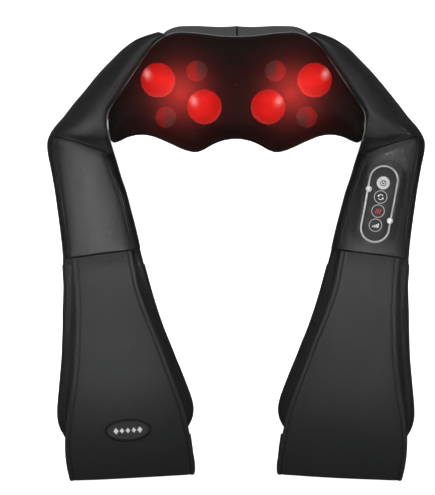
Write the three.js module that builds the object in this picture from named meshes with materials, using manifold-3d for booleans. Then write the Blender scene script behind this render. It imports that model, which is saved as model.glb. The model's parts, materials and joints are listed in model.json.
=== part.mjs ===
// Shiatsu neck massager: a kneading head with two counter-rotating four-node rotors under a mesh cover,
// and two padded leather arms that fold at the shoulders and end in hand loops.
// Millimetres, +Z up. The object lies on its back: the head is at +Y, the arms reach towards -Y.
import * as THREE from "three";
import { mergeVertices } from "three/addons/utils/BufferGeometryUtils.js";
import Module from "manifold-3d";

const wasm = await Module();
wasm.setup();
const { Manifold } = wasm;

// ---------------------------------------------------------------- driving dimensions
const GAP = 0.3; // clearance kept between pieces that touch
const ROTOR_X = 75; // kneading rotor axes at x = +-ROTOR_X
const ROTOR_Y = 223;
const LARGE_R = 23.5, // large kneading node
  LARGE_AT = 36.5,
  LARGE_Z = 81.2;
const SMALL_R = 14.5, // small kneading node
  SMALL_AT = 38,
  SMALL_Z = 72.5;
const LARGE_DEG = 150,
  SMALL_DEG = 56; // left rotor; the right one is its mirror image
const FLOOR_Z = 5.5, // underside of the gearbox
  CHASSIS_T = 3,
  DECK_Z = 38.3,
  DECK_T = 3;
const MOTOR_R = 17,
  MOTOR_L = 42,
  MOTOR_Z = 30;
const GEAR_M = 2,
  PINION_Z = 9,
  GEAR_Z = 46,
  GEAR_FACE = 9; // output stage, centre distance 55
const WORM_M = 1.25,
  WHEEL_Z = 23,
  WORM_R = 5.625,
  WORM_TURNS = 3.4,
  WHEEL_FACE = 8; // worm stage, centre distance 20
const RIM_Z = 72, // top of the leather rim round the mesh
  DOME_H = 41.5,
  DOME_D = 38;
const HINGE_Y = 157.5,
  HINGE_Z = 62.6; // shoulder fold line, parallel to X
const PANEL = { x: 197.5, y: 73.2, z: 46.0, yaw: -9.7, pitch: 9.5, len: 109, wid: 41 };
const BUTTONS = [
  ["power_button", 29.9, 8.9],
  ["direction_button", 10, 8.2],
  ["heat_button", -9.9, 8.2],
  ["intensity_button", -29.8, 8.2],
];
const CENTRE_Y = -2.55; // moves the whole object so that its box is centred

// half outline of the mesh opening, from the top centre round the left side to the bottom centre
const RIM = [[0, 301.3], [-20.7, 302], [-37.1, 303.9], [-53.6, 306], [-74.8, 307.2], [-84.4, 306.5], [-94.9, 302.8], [-104.1, 297.1], [-115.8, 286.7], [-126.1, 272.2], [-137.7, 254.6], [-152, 233.3], [-163.6, 216.5], [-172.1, 203.6], [-175.7, 193.5], [-176.1, 184.8], [-174.3, 174.5], [-170.8, 164.6], [-167.4, 159.6], [-161, 160.9], [-154, 164], [-144.5, 167], [-133.6, 168.4], [-122.6, 167.6], [-111.7, 164.6], [-100.8, 160.1], [-89.8, 155.3], [-78.9, 150.1], [-68, 145.9], [-56, 143.9], [-46.1, 146.8], [-40, 150.2], [-31.1, 155.1], [-21.5, 159], [-10.6, 161.6], [0, 162.5]];
const SHOULDER_OUT = [[-261, 157.9], [-260.4, 163.2], [-256.3, 172.8], [-248.2, 183.9], [-238.8, 194.9], [-225.6, 211.5], [-212.2, 228.1], [-194, 250.2], [-173, 272.3], [-156, 288.9], [-137.8, 301.3], [-118.4, 308.2], [-106, 311.5]];
const SHOULDER_IN = [[-172, 157.9], [-172.4, 161.5], [-174.6, 171.1], [-176.9, 181.4], [-176.9, 191.6], [-172.4, 203.4], [-161.6, 218.9], [-145.9, 243.5], [-130.1, 266.1], [-117.2, 284.5], [-105.6, 297.5], [-99.4, 300.9], [-95.5, 303.5]];
const ARM_OUT = [[-261, 157.1], [-260.8, 145.4], [-257.3, 127.5], [-254, 108.1], [-251.1, 88.7], [-248, 63.8], [-245, 40.3], [-242.5, 18.1], [-240.6, -3]];
const ARM_IN = [[-172, 157.1], [-169, 146.1], [-164, 129.5], [-158.5, 110.8], [-152.1, 91.5], [-146.3, 69.3], [-140.5, 47.2], [-135.5, 26.4], [-132.1, 10.8]];
const ARM_TOP = [62, 58.5, 54.5, 50.5, 46.5, 42.5, 39, 36.5, 35];
const ARM_BOTTOM = [24, 20, 15.5, 11, 7, 3.5, 1, 0, 0];
const PAD = [[-241.9, -4.6], [-241, -20.9], [-239.8, -37.6], [-240.1, -57.2], [-240.8, -76.7], [-241, -99], [-241.7, -121.3], [-242.7, -143.7], [-244.4, -163.2], [-246.1, -182.7], [-247.7, -199.5], [-248.6, -213.4], [-248.3, -224.6], [-245.8, -235.8], [-241, -245.5], [-231.3, -252.5], [-180, -249.5], [-128, -246.4], [-77.8, -243.4], [-68, -236.5], [-63.3, -228.8], [-60.6, -220.4], [-59.9, -209.3], [-62.7, -196], [-68, -181.3], [-75.3, -162.5], [-83.4, -143], [-92, -121.3], [-100.5, -100.4], [-107.9, -79.5], [-114.6, -58.6], [-121, -36.2], [-127.3, -12.5], [-132.9, 9.4]];
const PAD_TOP = 15;
// hand strap: outer edge x, y, inner edge x, y, height of its mid-surface
const STRAP = [[-227.4, -2.8, -144.7, 7.8, 33], [-226, -9, -143, 2, 37], [-223.5, -24, -140, -13, 47], [-220.8, -50, -134, -40, 58], [-219.5, -85, -121, -77, 67], [-219.9, -120, -105.5, -115, 71.5], [-221.8, -150, -93.5, -147, 72], [-225.5, -182, -80.5, -181, 69], [-231, -215, -69.5, -214, 63], [-235, -245, -63.5, -243, 54], [-235.9, -270, -59.3, -267, 43], [-234.5, -290, -56.8, -284, 32], [-232.5, -304.5, -56.5, -296.5, 22], [-231.5, -310.8, -57.7, -301.8, 13], [-231.5, -307, -58, -298, 5], [-232, -297, -58, -289, 1.7], [-233, -275, -60, -268, 1.7], [-234, -257, -63, -247, 1.7]];
const STRAP_T = 3;
const INLET = { x: 150, y: -248, z: 7.5, r: 5.2 }; // supply inlet in the end of the right loop pad
const BADGE = { x: -148.5, y: -237.8, a: 28, b: 12 };

// ---------------------------------------------------------------- materials
const mat = (c, r, m = 0) => new THREE.MeshStandardMaterial({ color: c, roughness: r, metalness: m });
const M = {
  leather: mat(0x2b2c2e, 0.5),
  strap: mat(0x3c3e3f, 0.5),
  mesh: mat(0x121212, 0.85),
  foam: mat(0x8c8c86, 0.95),
  node: mat(0xd61212, 0.3),
  housing: mat(0x1b1c1e, 0.6),
  deck: mat(0x2a2b2d, 0.6),
  nylon: mat(0xe6e2d4, 0.5),
  steel: mat(0xb9bcc0, 0.3, 1),
  can: mat(0x9ea1a5, 0.4, 1),
  brass: mat(0xb08d4a, 0.35, 1),
  silver: mat(0xd0d2d4, 0.25, 1),
  panel: mat(0x37383a, 0.5),
  button: mat(0x2e2f31, 0.5),
  board: mat(0x1f5b34, 0.6),
  lens: mat(0xc81414, 0.15),
  badge: mat(0x454746, 0.5),
};

// ---------------------------------------------------------------- geometry helpers
const rad = (d) => (d * Math.PI) / 180;
const lerp = (a, b, t) => a + (b - a) * t;

// a plain indexed geometry whose faces point out
function closed(pos, idx) {
  let vol = 0;
  const p = (i, k) => pos[3 * i + k];
  for (let t = 0; t < idx.length; t += 3) {
    const [a, b, c] = [idx[t], idx[t + 1], idx[t + 2]];
    vol += p(a, 0) * (p(b, 1) * p(c, 2) - p(b, 2) * p(c, 1)) + p(a, 1) * (p(b, 2) * p(c, 0) - p(b, 0) * p(c, 2)) + p(a, 2) * (p(b, 0) * p(c, 1) - p(b, 1) * p(c, 0));
  }
  if (vol < 0) for (let t = 0; t < idx.length; t += 3) [idx[t + 1], idx[t + 2]] = [idx[t + 2], idx[t + 1]];
  const g = new THREE.BufferGeometry();
  g.setAttribute("position", new THREE.Float32BufferAttribute(pos, 3));
  g.setIndex(idx);
  return g;
}

// skin over a row of rings that all have the same number of points, capped at both ends or joined end to end
function loft(rings, endless = false) {
  const n = rings[0].length,
    pos = [],
    idx = [];
  rings.forEach((r) => r.forEach((p) => pos.push(p[0], p[1], p[2])));
  const last = endless ? rings.length : rings.length - 1;
  for (let i = 0; i < last; i++)
    for (let j = 0; j < n; j++) {
      const a = i * n + j,
        b = i * n + ((j + 1) % n),
        i2 = (i + 1) % rings.length,
        c = i2 * n + j,
        d = i2 * n + ((j + 1) % n);
      idx.push(a, b, d, a, d, c);
    }
  if (!endless)
    for (const [i, flip] of [
      [0, false],
      [rings.length - 1, true],
    ]) {
      const c = [0, 0, 0];
      rings[i].forEach((p) => p.forEach((v, k) => (c[k] += v / n)));
      const at = pos.length / 3;
      pos.push(...c);
      for (let j = 0; j < n; j++) {
        const a = i * n + j,
          b = i * n + ((j + 1) % n);
        if (flip) idx.push(a, b, at);
        else idx.push(b, a, at);
      }
    }
  return closed(pos, idx);
}

// position-only, merged, facing out
function tidy(geometry) {
  let g = geometry.clone();
  for (const k of Object.keys(g.attributes)) if (k !== "position") g.deleteAttribute(k);
  g = mergeVertices(g, 1e-4);
  const idx = [];
  const old = g.index.array;
  for (let t = 0; t < old.length; t += 3) if (old[t] !== old[t + 1] && old[t + 1] !== old[t + 2] && old[t] !== old[t + 2]) idx.push(old[t], old[t + 1], old[t + 2]);
  return closed(Array.from(g.attributes.position.array), idx);
}
// solid from a closed three.js geometry, and back
function solid(geometry) {
  const g = tidy(geometry);
  return new Manifold(new wasm.Mesh({ numProp: 3, vertProperties: new Float32Array(g.attributes.position.array), triVerts: new Uint32Array(g.index.array) }));
}
function geometryOf(m) {
  const q = m.getMesh(),
    v = new Float32Array(q.numVert * 3);
  for (let i = 0; i < q.numVert; i++) v.set(q.vertProperties.subarray(i * q.numProp, i * q.numProp + 3), i * 3);
  const g = new THREE.BufferGeometry();
  g.setAttribute("position", new THREE.BufferAttribute(v, 3));
  g.setIndex(new THREE.BufferAttribute(new Uint32Array(q.triVerts), 1));
  return g;
}
const union = (a, ...rest) => rest.reduce((s, b) => s.add(b), a);
const minus = (a, ...rest) => rest.reduce((s, b) => s.subtract(b), a);

// straight cylinder along Z from z0 to z1
const rod = (r, z0, z1, x = 0, y = 0, n = 24) => new THREE.CylinderGeometry(r, r, z1 - z0, n).rotateX(Math.PI / 2).translate(x, y, (z0 + z1) / 2);
const block = (x0, x1, y0, y1, z0, z1) => new THREE.BoxGeometry(x1 - x0, y1 - y0, z1 - z0).translate((x0 + x1) / 2, (y0 + y1) / 2, (z0 + z1) / 2);
// flat plate from an outline
function plate(points, z0, z1, holes = []) {
  const s = new THREE.Shape(points.map((p) => new THREE.Vector2(p[0], p[1])));
  for (const h of holes) s.holes.push(new THREE.Path(h.map((p) => new THREE.Vector2(p[0], p[1]))));
  return new THREE.ExtrudeGeometry(s, { depth: z1 - z0, bevelEnabled: false, steps: 1 }).translate(0, 0, z0);
}
const circle = (r, n, x = 0, y = 0, turn = 0) => Array.from({ length: n }, (_, i) => [x + r * Math.cos((2 * Math.PI * i) / n + turn), y + r * Math.sin((2 * Math.PI * i) / n + turn)]);
// a lathe profile given as [radius, z] pairs, turned about Z
const turned = (profile, n = 24) => new THREE.LatheGeometry(profile.map((p) => new THREE.Vector2(p[0], p[1])), n).rotateX(Math.PI / 2);
const ringOf = (rin, rout, z0, z1, n = 24) => turned([[rin, z0], [rout, z0], [rout, z1], [rin, z1], [rin, z0]], n);
// stadium outline, long axis along Y
function stadium(len, wid, n = 8) {
  const r = wid / 2,
    h = len / 2 - r,
    out = [];
  for (let i = 0; i <= n; i++) out.push([r * Math.cos((Math.PI * i) / n), h + r * Math.sin((Math.PI * i) / n)]);
  for (let i = 0; i <= n; i++) out.push([-r * Math.cos((Math.PI * i) / n), -h - r * Math.sin((Math.PI * i) / n)]);
  return out;
}

const root = new THREE.Group();
root.position.set(0, CENTRE_Y, 0);
function add(name, geometry, material, parent = root) {
  const m = new THREE.Mesh(tidy(geometry), material.clone());
  m.name = name;
  parent.add(m);
  return m;
}
const mirrorX = (m) => m.mirror([1, 0, 0]);
const SIDES = [
  ["left", 1],
  ["right", -1],
]; // the tables above describe the side at -X, which is the left one
const sided = (s, sign) => (sign > 0 ? s : mirrorX(s));

// ---------------------------------------------------------------- leather back cover and mesh front of the head
const TIP = RIM.findIndex((p) => p[0] === Math.min(...RIM.map((q) => q[0])));
const along = (list, x) => {
  for (let i = 0; i + 1 < list.length; i++) {
    const [a, b] = [list[i], list[i + 1]];
    if ((x - a[0]) * (x - b[0]) <= 0) return lerp(a[1], b[1], (x - a[0]) / (b[0] - a[0] || 1));
  }
  return list[list.length - 1][1];
};
// the outline as upright columns: x, lower y, upper y
const HALF_X = [176.1, 174.8, 171.6, 167.4, 160, 149, 134, 119, 106, 93, 76, 56, 40, 20, 0];
const COLUMNS = [...HALF_X.map((x) => -x), ...HALF_X.slice(0, -1).reverse()].map((x, i, all) => {
  const end = i === 0 || i === all.length - 1;
  const hi = along(RIM.slice(0, TIP + 1), -Math.abs(x)),
    lo = along(RIM.slice(TIP), -Math.abs(x));
  return end ? [x, 181.5, 189] : [x, lo, hi];
});
const OUTLINE = [...COLUMNS.map((c) => [c[0], c[1]]), ...COLUMNS.map((c) => [c[0], c[2]]).reverse()];
// how much of the top bulge a point takes
const topShare = (p) => (p[1] > 285 ? Math.min(1, Math.max(0, (118 - Math.abs(p[0])) / 22)) : 0);
// the outline pulled in by a distance towards the spine that joins the rotors
function headRing(z, pull, bulge) {
  return OUTLINE.map((p) => {
    const cx = Math.max(-95, Math.min(95, p[0] * 0.7)),
      cy = ROTOR_Y,
      l = Math.hypot(cx - p[0], cy - p[1]),
      k = topShare(p) * bulge * (1 + 0.35 * (1 - Math.abs(p[0]) / 118));
    return [p[0] + ((cx - p[0]) / l) * pull, p[1] + ((cy - p[1]) / l) * pull + k, z];
  });
}
const TUB = [
  [0, 14, 4],
  [2.5, 8.5, 5],
  [9, 4, 7],
  [22, 1.6, 9.5],
  [46, 1, 10],
  [RIM_Z, 1, 0],
];
const tubOuter = solid(loft(TUB.map(([z, off, b]) => headRing(z, off, b))));
const tubInner = solid(loft([[5, 15, 3], [9, 10.5, 3], [22, 6.6, 4], [46, 6, 5], [RIM_Z + 4, 6, -2]].map(([z, off, b]) => headRing(z, off, b))));
const tubGrown = solid(loft([[-1, 13, 4], [2.5, 7.9, 5.5], [9, 3.4, 7.5], [22, 1, 10], [46, 0.4, 10.5], [RIM_Z + 0.6, 0.4, 0.5]].map(([z, off, b]) => headRing(z, off, b))));
add("head_back_cover", geometryOf(minus(tubOuter, tubInner)), M.leather);

function toOutline(x, y) {
  let best = 1e9;
  for (let i = 0; i < OUTLINE.length; i++) {
    const [ax, ay] = OUTLINE[i],
      [bx, by] = OUTLINE[(i + 1) % OUTLINE.length],
      dx = bx - ax,
      dy = by - ay,
      t = Math.max(0, Math.min(1, ((x - ax) * dx + (y - ay) * dy) / (dx * dx + dy * dy)));
    best = Math.min(best, Math.hypot(x - ax - t * dx, y - ay - t * dy));
  }
  return best;
}
const domeZ = (d, x) => {
  const t = Math.min(1, Math.max(0, d) / DOME_D);
  return RIM_Z + GAP + DOME_H * Math.sqrt(1 - (1 - t) ** 2) - 7 * t * Math.exp(-((x / 24) ** 2));
};
// a domed solid on the outline: the columns shortened by the inset, the top lowered by the drop
function domeSolid(inset, drop, low) {
  const rows = 7,
    base = RIM_Z + GAP,
    pos = [],
    idx = [],
    cols = COLUMNS.map(([x, lo, hi]) => {
      const h = Math.max(2, (hi - lo) / 2 - 1 - inset),
        m = (lo + hi) / 2;
      return [x * (1 - (1 + inset) / 176), m - h, m + h];
    });
  const n = rows + 1,
    C = cols.length;
  for (const [x, lo, hi] of cols)
    for (let r = 0; r <= rows; r++) {
      const s = r / rows,
        y = lerp(lo, hi, 0.5 - 0.5 * Math.cos(Math.PI * s)),
        rim = r === 0 || r === rows;
      pos.push(x, y, rim ? base + 0.8 : Math.max(base + 0.8, domeZ(toOutline(x, y) - 1 - inset, x) - drop));
    }
  for (const [x, lo, hi] of cols) pos.push(x, lo, base - low, x, hi, base - low);
  const T = (c, r) => c * n + r,
    B = (c, k) => C * n + 2 * c + k,
    quad = (a, b, c, d) => idx.push(a, b, c, a, c, d);
  for (let c = 0; c + 1 < C; c++) {
    for (let r = 0; r < rows; r++) quad(T(c, r), T(c + 1, r), T(c + 1, r + 1), T(c, r + 1));
    quad(B(c, 0), B(c, 1), B(c + 1, 1), B(c + 1, 0));
    quad(T(c, 0), B(c, 0), B(c + 1, 0), T(c + 1, 0));
    quad(T(c + 1, rows), B(c + 1, 1), B(c, 1), T(c, rows));
  }
  for (const [c, flip] of [[0, false], [C - 1, true]]) {
    const ring = [];
    for (let r = 0; r <= rows; r++) ring.push(T(c, r));
    ring.push(B(c, 1), B(c, 0));
    const at = pos.length / 3;
    const x = cols[c][0];
    pos.push(x, (cols[c][1] + cols[c][2]) / 2, base + 0.4 - low / 2);
    ring.forEach((a, i) => {
      const b = ring[(i + 1) % ring.length];
      if (flip) idx.push(b, a, at);
      else idx.push(a, b, at);
    });
  }
  return solid(closed(pos, idx));
}
const domeOuter = domeSolid(0, 0, 0);
add("mesh_front_cover", geometryOf(minus(domeOuter, domeSolid(2.2, 2.2, 6))), M.mesh);

// ---------------------------------------------------------------- gearbox, in its own group with the origin midway between the rotors
const box = new THREE.Group();
box.position.set(0, ROTOR_Y, 0);
root.add(box);

function bodyPlan(r, hx, y0, y1, z0, z1) {
  return union(solid(rod(r, z0, z1, -ROTOR_X, 0, 24)), solid(rod(r, z0, z1, ROTOR_X, 0, 24)), solid(block(-hx, hx, y0, y1, z0, z1)), solid(block(-ROTOR_X, ROTOR_X, -30, 30, z0, z1)));
}
const SCREWS = [[-25, 58.7], [25, 58.7], [-25, -34.6], [25, -34.6]];
const floorTop = FLOOR_Z + CHASSIS_T;
let chassis = minus(bodyPlan(52, 30, -40, 64, FLOOR_Z, DECK_Z - GAP), bodyPlan(49.4, 27.5, -37.5, 61.6, floorTop, DECK_Z + 5));
for (const [x, y] of SCREWS) chassis = union(chassis, solid(rod(3.6, FLOOR_Z + 1, DECK_Z - GAP, x, y, 8)));
for (const sx of [-1, 1]) chassis = union(chassis, solid(rod(4.4, FLOOR_Z + 1, 60, sx * ROTOR_X, 0, 10)));
// motor cradle and end bearing post
const alongY = (r, y0, y1, n = 20) => new THREE.CylinderGeometry(r, r, y1 - y0, n).translate(0, (y0 + y1) / 2, MOTOR_Z);
for (const y of [24, 50]) chassis = union(chassis, minus(solid(block(-15, 15, y, y + 5, FLOOR_Z + 1, 24)), solid(alongY(MOTOR_R + GAP + 0.3, y - 1, y + 6, 20))));
chassis = union(chassis, minus(solid(block(-5, 5, -20, -15, FLOOR_Z + 1, 36)), solid(alongY(2.35, -21, -14, 12))));
for (const [x, y] of SCREWS) chassis = minus(chassis, solid(rod(1.5, 24, 60, x, y, 8)));
add("gearbox_lower_housing", geometryOf(chassis), M.housing, box);

let deck = bodyPlan(52, 30, -40, 64, DECK_Z, DECK_Z + DECK_T);
for (const sx of [-1, 1]) deck = minus(union(deck, solid(rod(16, DECK_Z, DECK_Z + 6, sx * ROTOR_X, 0, 16))), solid(rod(13.8, DECK_Z - 5, DECK_Z + 15, sx * ROTOR_X, 0, 16)));
deck = minus(deck, solid(block(-19, 19, 14, 61.5, DECK_Z - 1, DECK_Z + 9)));
for (const [x, y] of SCREWS) deck = minus(deck, solid(rod(2, DECK_Z - 1, DECK_Z + 9, x, y, 8)));
add("gearbox_upper_deck", geometryOf(deck), M.deck, box);

SCREWS.forEach(([x, y], i) => {
  const top = DECK_Z + DECK_T + GAP;
  add("deck_screw_" + (i + 1), turned([[0, top - 13], [1.2, top - 13], [1.2, top], [3, top], [3, top + 0.9], [1.8, top + 2], [0, top + 2]], 8).translate(x, y, 0), M.steel, box);
});

// motor: can with a bored shaft hole, its strap, and the shaft that carries the worm
const can = new THREE.Group();
can.position.set(0, 0, MOTOR_Z);
can.rotation.x = -Math.PI / 2; // group +Z runs along +Y
box.add(can);
add("motor_can", turned([[2.4, 18], [6, 18], [6, 20.5], [MOTOR_R - 1.5, 20.5], [MOTOR_R, 22], [MOTOR_R, 18 + MOTOR_L], [6, 18 + MOTOR_L], [6, 19.2 + MOTOR_L], [2.4, 19.2 + MOTOR_L], [2.4, 18]], 20), M.can, can);
{
  const arch = [];
  const ri = MOTOR_R + GAP,
    ro = ri + 1.6,
    foot = DECK_Z + DECK_T + GAP - MOTOR_Z;
  const aIn = Math.asin(foot / ri),
    aOut = Math.asin((foot + 1.6) / ro);
  arch.push([28, foot], [28, foot + 1.6]);
  for (let i = 0; i <= 10; i++) arch.push([ro * Math.cos(lerp(aOut, Math.PI - aOut, i / 10)), ro * Math.sin(lerp(aOut, Math.PI - aOut, i / 10))]);
  arch.push([-28, foot + 1.6], [-28, foot]);
  for (let i = 0; i <= 10; i++) arch.push([-(ri + 0.1) * Math.cos(lerp(aIn, Math.PI - aIn, i / 10)), (ri + 0.1) * Math.sin(lerp(aIn, Math.PI - aIn, i / 10))]);
  add("motor_strap", plate(arch, 0, 10).rotateX(Math.PI / 2).translate(0, 48, MOTOR_Z), M.steel, box);
}
{
  const lead = Math.PI * WORM_M,
    steps = 8,
    turns = WORM_TURNS,
    ad = 0.8 * WORM_M,
    de = 1.05 * WORM_M,
    t = Math.tan(rad(20)),
    half0 = lead / 4 - 0.09;
  const rings = [];
  for (let i = 0; i <= Math.round(turns * steps); i++) {
    const a = (2 * Math.PI * i) / steps,
      z = (a / (2 * Math.PI) - turns / 2) * lead;
    rings.push(
      [
        [WORM_R - de - 0.6, -(half0 + (de + 0.6) * t)],
        [WORM_R + ad, -(half0 - ad * t)],
        [WORM_R + ad, half0 - ad * t],
        [WORM_R - de - 0.6, half0 + (de + 0.6) * t],
      ].map(([r, dz]) => [r * Math.cos(a), r * Math.sin(a), z + dz]),
    );
  }
  const worm = union(solid(loft(rings)), solid(rod(WORM_R - de, -turns * lead * 0.5 - 1.5, turns * lead * 0.5 + 1.5, 0, 0, 14)), solid(rod(2, -22, 56, 0, 0, 10)));
  add("worm_shaft", geometryOf(worm), M.brass, can);
}

// involute spur or helical gear outline
function gearOutline(z, m, alpha, addendum, dedendum, thin, flank = 3) {
  const r = (m * z) / 2,
    rb = r * Math.cos(alpha),
    ra = r + addendum,
    rf = r - dedendum,
    inv = (a) => Math.tan(a) - a,
    s = (Math.PI * m) / 2 - thin,
    out = [];
  const halfAt = (q) => s / (2 * r) + inv(alpha) - inv(Math.acos(Math.min(1, rb / q)));
  const r0 = Math.max(rb, rf);
  for (let k = 0; k < z; k++) {
    const c = (2 * Math.PI * k) / z,
      side = [];
    if (rf < rb) side.push([rf, halfAt(rb)]);
    for (let i = 0; i <= flank - 1; i++) {
      const q = lerp(r0, ra, i / (flank - 1));
      side.push([q, halfAt(q)]);
    }
    side.forEach(([q, h]) => out.push([q * Math.cos(c - h), q * Math.sin(c - h)]));
    side
      .slice()
      .reverse()
      .forEach(([q, h]) => out.push([q * Math.cos(c + h), q * Math.sin(c + h)]));
  }
  return out;
}
const twistLoft = (outline, z0, z1, turn, layers, at = 0) => {
  const rings = [];
  for (let i = 0; i <= layers; i++) {
    const a = at + turn * (i / layers - 0.5);
    rings.push(outline.map(([x, y]) => [x * Math.cos(a) - y * Math.sin(a), x * Math.sin(a) + y * Math.cos(a), lerp(z0, z1, i / layers)]));
  }
  return loft(rings);
};
const WHEEL_R = (WORM_M * WHEEL_Z) / 2,
  IDLER_X = WORM_R + WHEEL_R,
  leadAngle = Math.atan(WORM_M / (2 * WORM_R));
const idlerZ0 = floorTop + GAP;
for (const [side, sign] of SIDES) {
  const sx = -sign; // left is at -X
  const at = new THREE.Group();
  at.position.set(sx * IDLER_X, 0, 0);
  box.add(at);
  add(side + "_idler_pin", rod(2, floorTop + GAP, DECK_Z - 2 * GAP, 0, 0, 12), M.steel, at);
  const twist = (WHEEL_FACE * Math.tan(leadAngle)) / WHEEL_R;
  // a worm thread crosses the plane of the wheels at threadY; each wheel turns a gap towards it
  const threadY = ((sx < 0 ? 0.5 : 0) - WORM_TURNS / 2) * Math.PI * WORM_M;
  const wheelPhase = sx < 0 ? threadY / WHEEL_R - Math.PI / WHEEL_Z : Math.PI - threadY / WHEEL_R - Math.PI / WHEEL_Z,
    pinionPhase = sx < 0 ? Math.PI : 0;
  const wheel = solid(twistLoft(gearOutline(WHEEL_Z, WORM_M, rad(20), 0.8 * WORM_M, 1.05 * WORM_M, 0.18, 2), MOTOR_Z - WHEEL_FACE / 2, MOTOR_Z + WHEEL_FACE / 2, twist, 1, wheelPhase));
  const pinion = solid(twistLoft(gearOutline(PINION_Z, GEAR_M, rad(25), 0.8 * GEAR_M, GEAR_M, 0.14, 3), idlerZ0, MOTOR_Z - WHEEL_FACE / 2 + 0.5, 0, 1, pinionPhase));
  const collar = solid(rod(4.5, MOTOR_Z, DECK_Z - 3 * GAP, 0, 0, 12));
  add(side + "_idler_gear", geometryOf(minus(union(wheel, pinion, collar), solid(rod(2.35, 0, 60, 0, 0, 12)))), M.nylon, at);
}

// ---------------------------------------------------------------- kneading rotors
for (const [side, sign] of SIDES) {
  const sx = -sign;
  const at = new THREE.Group();
  at.position.set(sx * ROTOR_X, 0, 0);
  box.add(at);
  const gear = gearOutline(GEAR_Z, GEAR_M, rad(25), 0.8 * GEAR_M, GEAR_M, 0.14, 2);
  // the pinion has a tooth pointing at the rotor axis, so the gear has a gap pointing back at it
  const facing = sx < 0 ? 0 : Math.PI;
  const phase = facing + Math.PI / GEAR_Z;
  const web = solid(twistLoft(gear, 13.5, 13.5 + GEAR_FACE, 0, 1, phase));
  const hub = solid(rod(9.4, floorTop + GAP, 54, 0, 0, 16));
  add(side + "_output_gear", geometryOf(minus(union(web, hub), solid(rod(5, 0, 70, 0, 0, 12)))), M.nylon, at);
  add(side + "_rotor_bush", ringOf(9.9, 13, 35, 46, 16), M.brass, at);
  // carrier plate with four stub axles
  const nodes = [
    ["large", LARGE_DEG, LARGE_AT, LARGE_R, LARGE_Z],
    ["large", LARGE_DEG + 180, LARGE_AT, LARGE_R, LARGE_Z],
    ["small", SMALL_DEG, SMALL_AT, SMALL_R, SMALL_Z],
    ["small", SMALL_DEG + 180, SMALL_AT, SMALL_R, SMALL_Z],
  ].map(([size, deg, r, R, z], i) => {
    const a = rad(sign > 0 ? deg : 180 - deg);
    return { size, x: r * Math.cos(a), y: r * Math.sin(a), R, z, name: `${side}_${size}_node_${(i % 2) + 1}` };
  });
  let carrier = solid(rod(22, 48, 53, 0, 0, 16));
  for (const [deg, reach, w] of [[LARGE_DEG, LARGE_AT, 24], [SMALL_DEG, SMALL_AT, 17]]) carrier = union(carrier, solid(block(-reach, reach, -w / 2, w / 2, 48, 53).rotateZ(rad(sign > 0 ? deg : 180 - deg))));
  for (const n of nodes) {
    const top = n.size === "large" ? n.z + 7 : n.z + 3;
    carrier = union(carrier, solid(rod(n.size === "large" ? 14 : 10, 48, 53, n.x, n.y, 10)), solid(turned([[0, 50], [n.size === "large" ? 7 : 5.5, 50], [n.size === "large" ? 7 : 5.5, n.z - n.R - 0.8], [4, n.z - n.R + 0.2], [4, top], [0, top]], 8).translate(n.x, n.y, 0)));
  }
  carrier = minus(carrier, solid(rod(10, 40, 60, 0, 0, 16)));
  add(side + "_node_carrier", geometryOf(carrier), M.housing, at);
  for (const n of nodes) {
    const bore = 4.35,
      top = (n.size === "large" ? 7 : 3) + 0.6,
      lat = n.size === "large" ? 7 : 6;
    const profile = [[0, top], [bore, top], [bore, -Math.sqrt(n.R ** 2 - bore ** 2)]];
    const a0 = Math.asin(bore / n.R);
    for (let i = 1; i < lat; i++) {
      const a = lerp(a0, Math.PI, i / lat);
      profile.push([n.R * Math.sin(a), -n.R * Math.cos(a)]);
    }
    profile.push([0, n.R]);
    const mesh = new THREE.Group();
    mesh.position.set(n.x, n.y, n.z);
    at.add(mesh);
    add(n.name, turned(profile, n.size === "large" ? 16 : 12), M.node, mesh);
  }
  // heat lamp on the fixed centre post
  add(side + "_lamp_board", turned([[0, 60 + GAP], [8.6, 60 + GAP], [8.6, 61.8], [0, 61.8]], 16), M.board, at);
  add(side + "_lamp_lens", turned([[0, 62.1], [8.6, 62.1], [8.6, 64.5], [6.6, 67.2], [3.4, 68.6], [0, 69]], 16), M.lens, at);
}

// ---------------------------------------------------------------- padded shoulders, arms, pads and straps
// ring of points across a section from the outer edge O to the inner edge I, from [share, z] pairs
const across = (O, I, pairs) => pairs.map(([u, z]) => [lerp(O[0], I[0], u), lerp(O[1], I[1], u), z]);
// the same ring moved inwards by d in its own plane
function inset(O, I, pairs, d) {
  const w = Math.hypot(I[0] - O[0], I[1] - O[1]);
  const p = pairs.map(([u, z]) => [u * w, z]);
  let area = 0;
  p.forEach((a, i) => {
    const b = p[(i + 1) % p.length];
    area += a[0] * b[1] - b[0] * a[1];
  });
  const s = area > 0 ? 1 : -1;
  return p.map((c, i) => {
    const a = p[(i + p.length - 1) % p.length],
      b = p[(i + 1) % p.length];
    const n1 = [-(c[1] - a[1]), c[0] - a[0]],
      n2 = [-(b[1] - c[1]), b[0] - c[0]];
    const l1 = Math.hypot(...n1) || 1,
      l2 = Math.hypot(...n2) || 1;
    const n = [n1[0] / l1 + n2[0] / l2, n1[1] / l1 + n2[1] / l2],
      l = Math.hypot(...n) || 1;
    return [(c[0] + (s * d * n[0]) / l) / w, c[1] + (s * d * n[1]) / l];
  });
}
const oval = (top, bottom, n = 14) => {
  const zm = (top + bottom) / 2,
    h = (top - bottom) / 2;
  return Array.from({ length: n }, (_, i) => {
    const a = (2 * Math.PI * (i + 0.5)) / n,
      c = Math.cos(a),
      s = Math.sin(a);
    return [0.5 - 0.5 * Math.sign(c) * Math.abs(c) ** 0.62, zm + h * Math.sign(s) * Math.abs(s) ** 0.72];
  });
};
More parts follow.
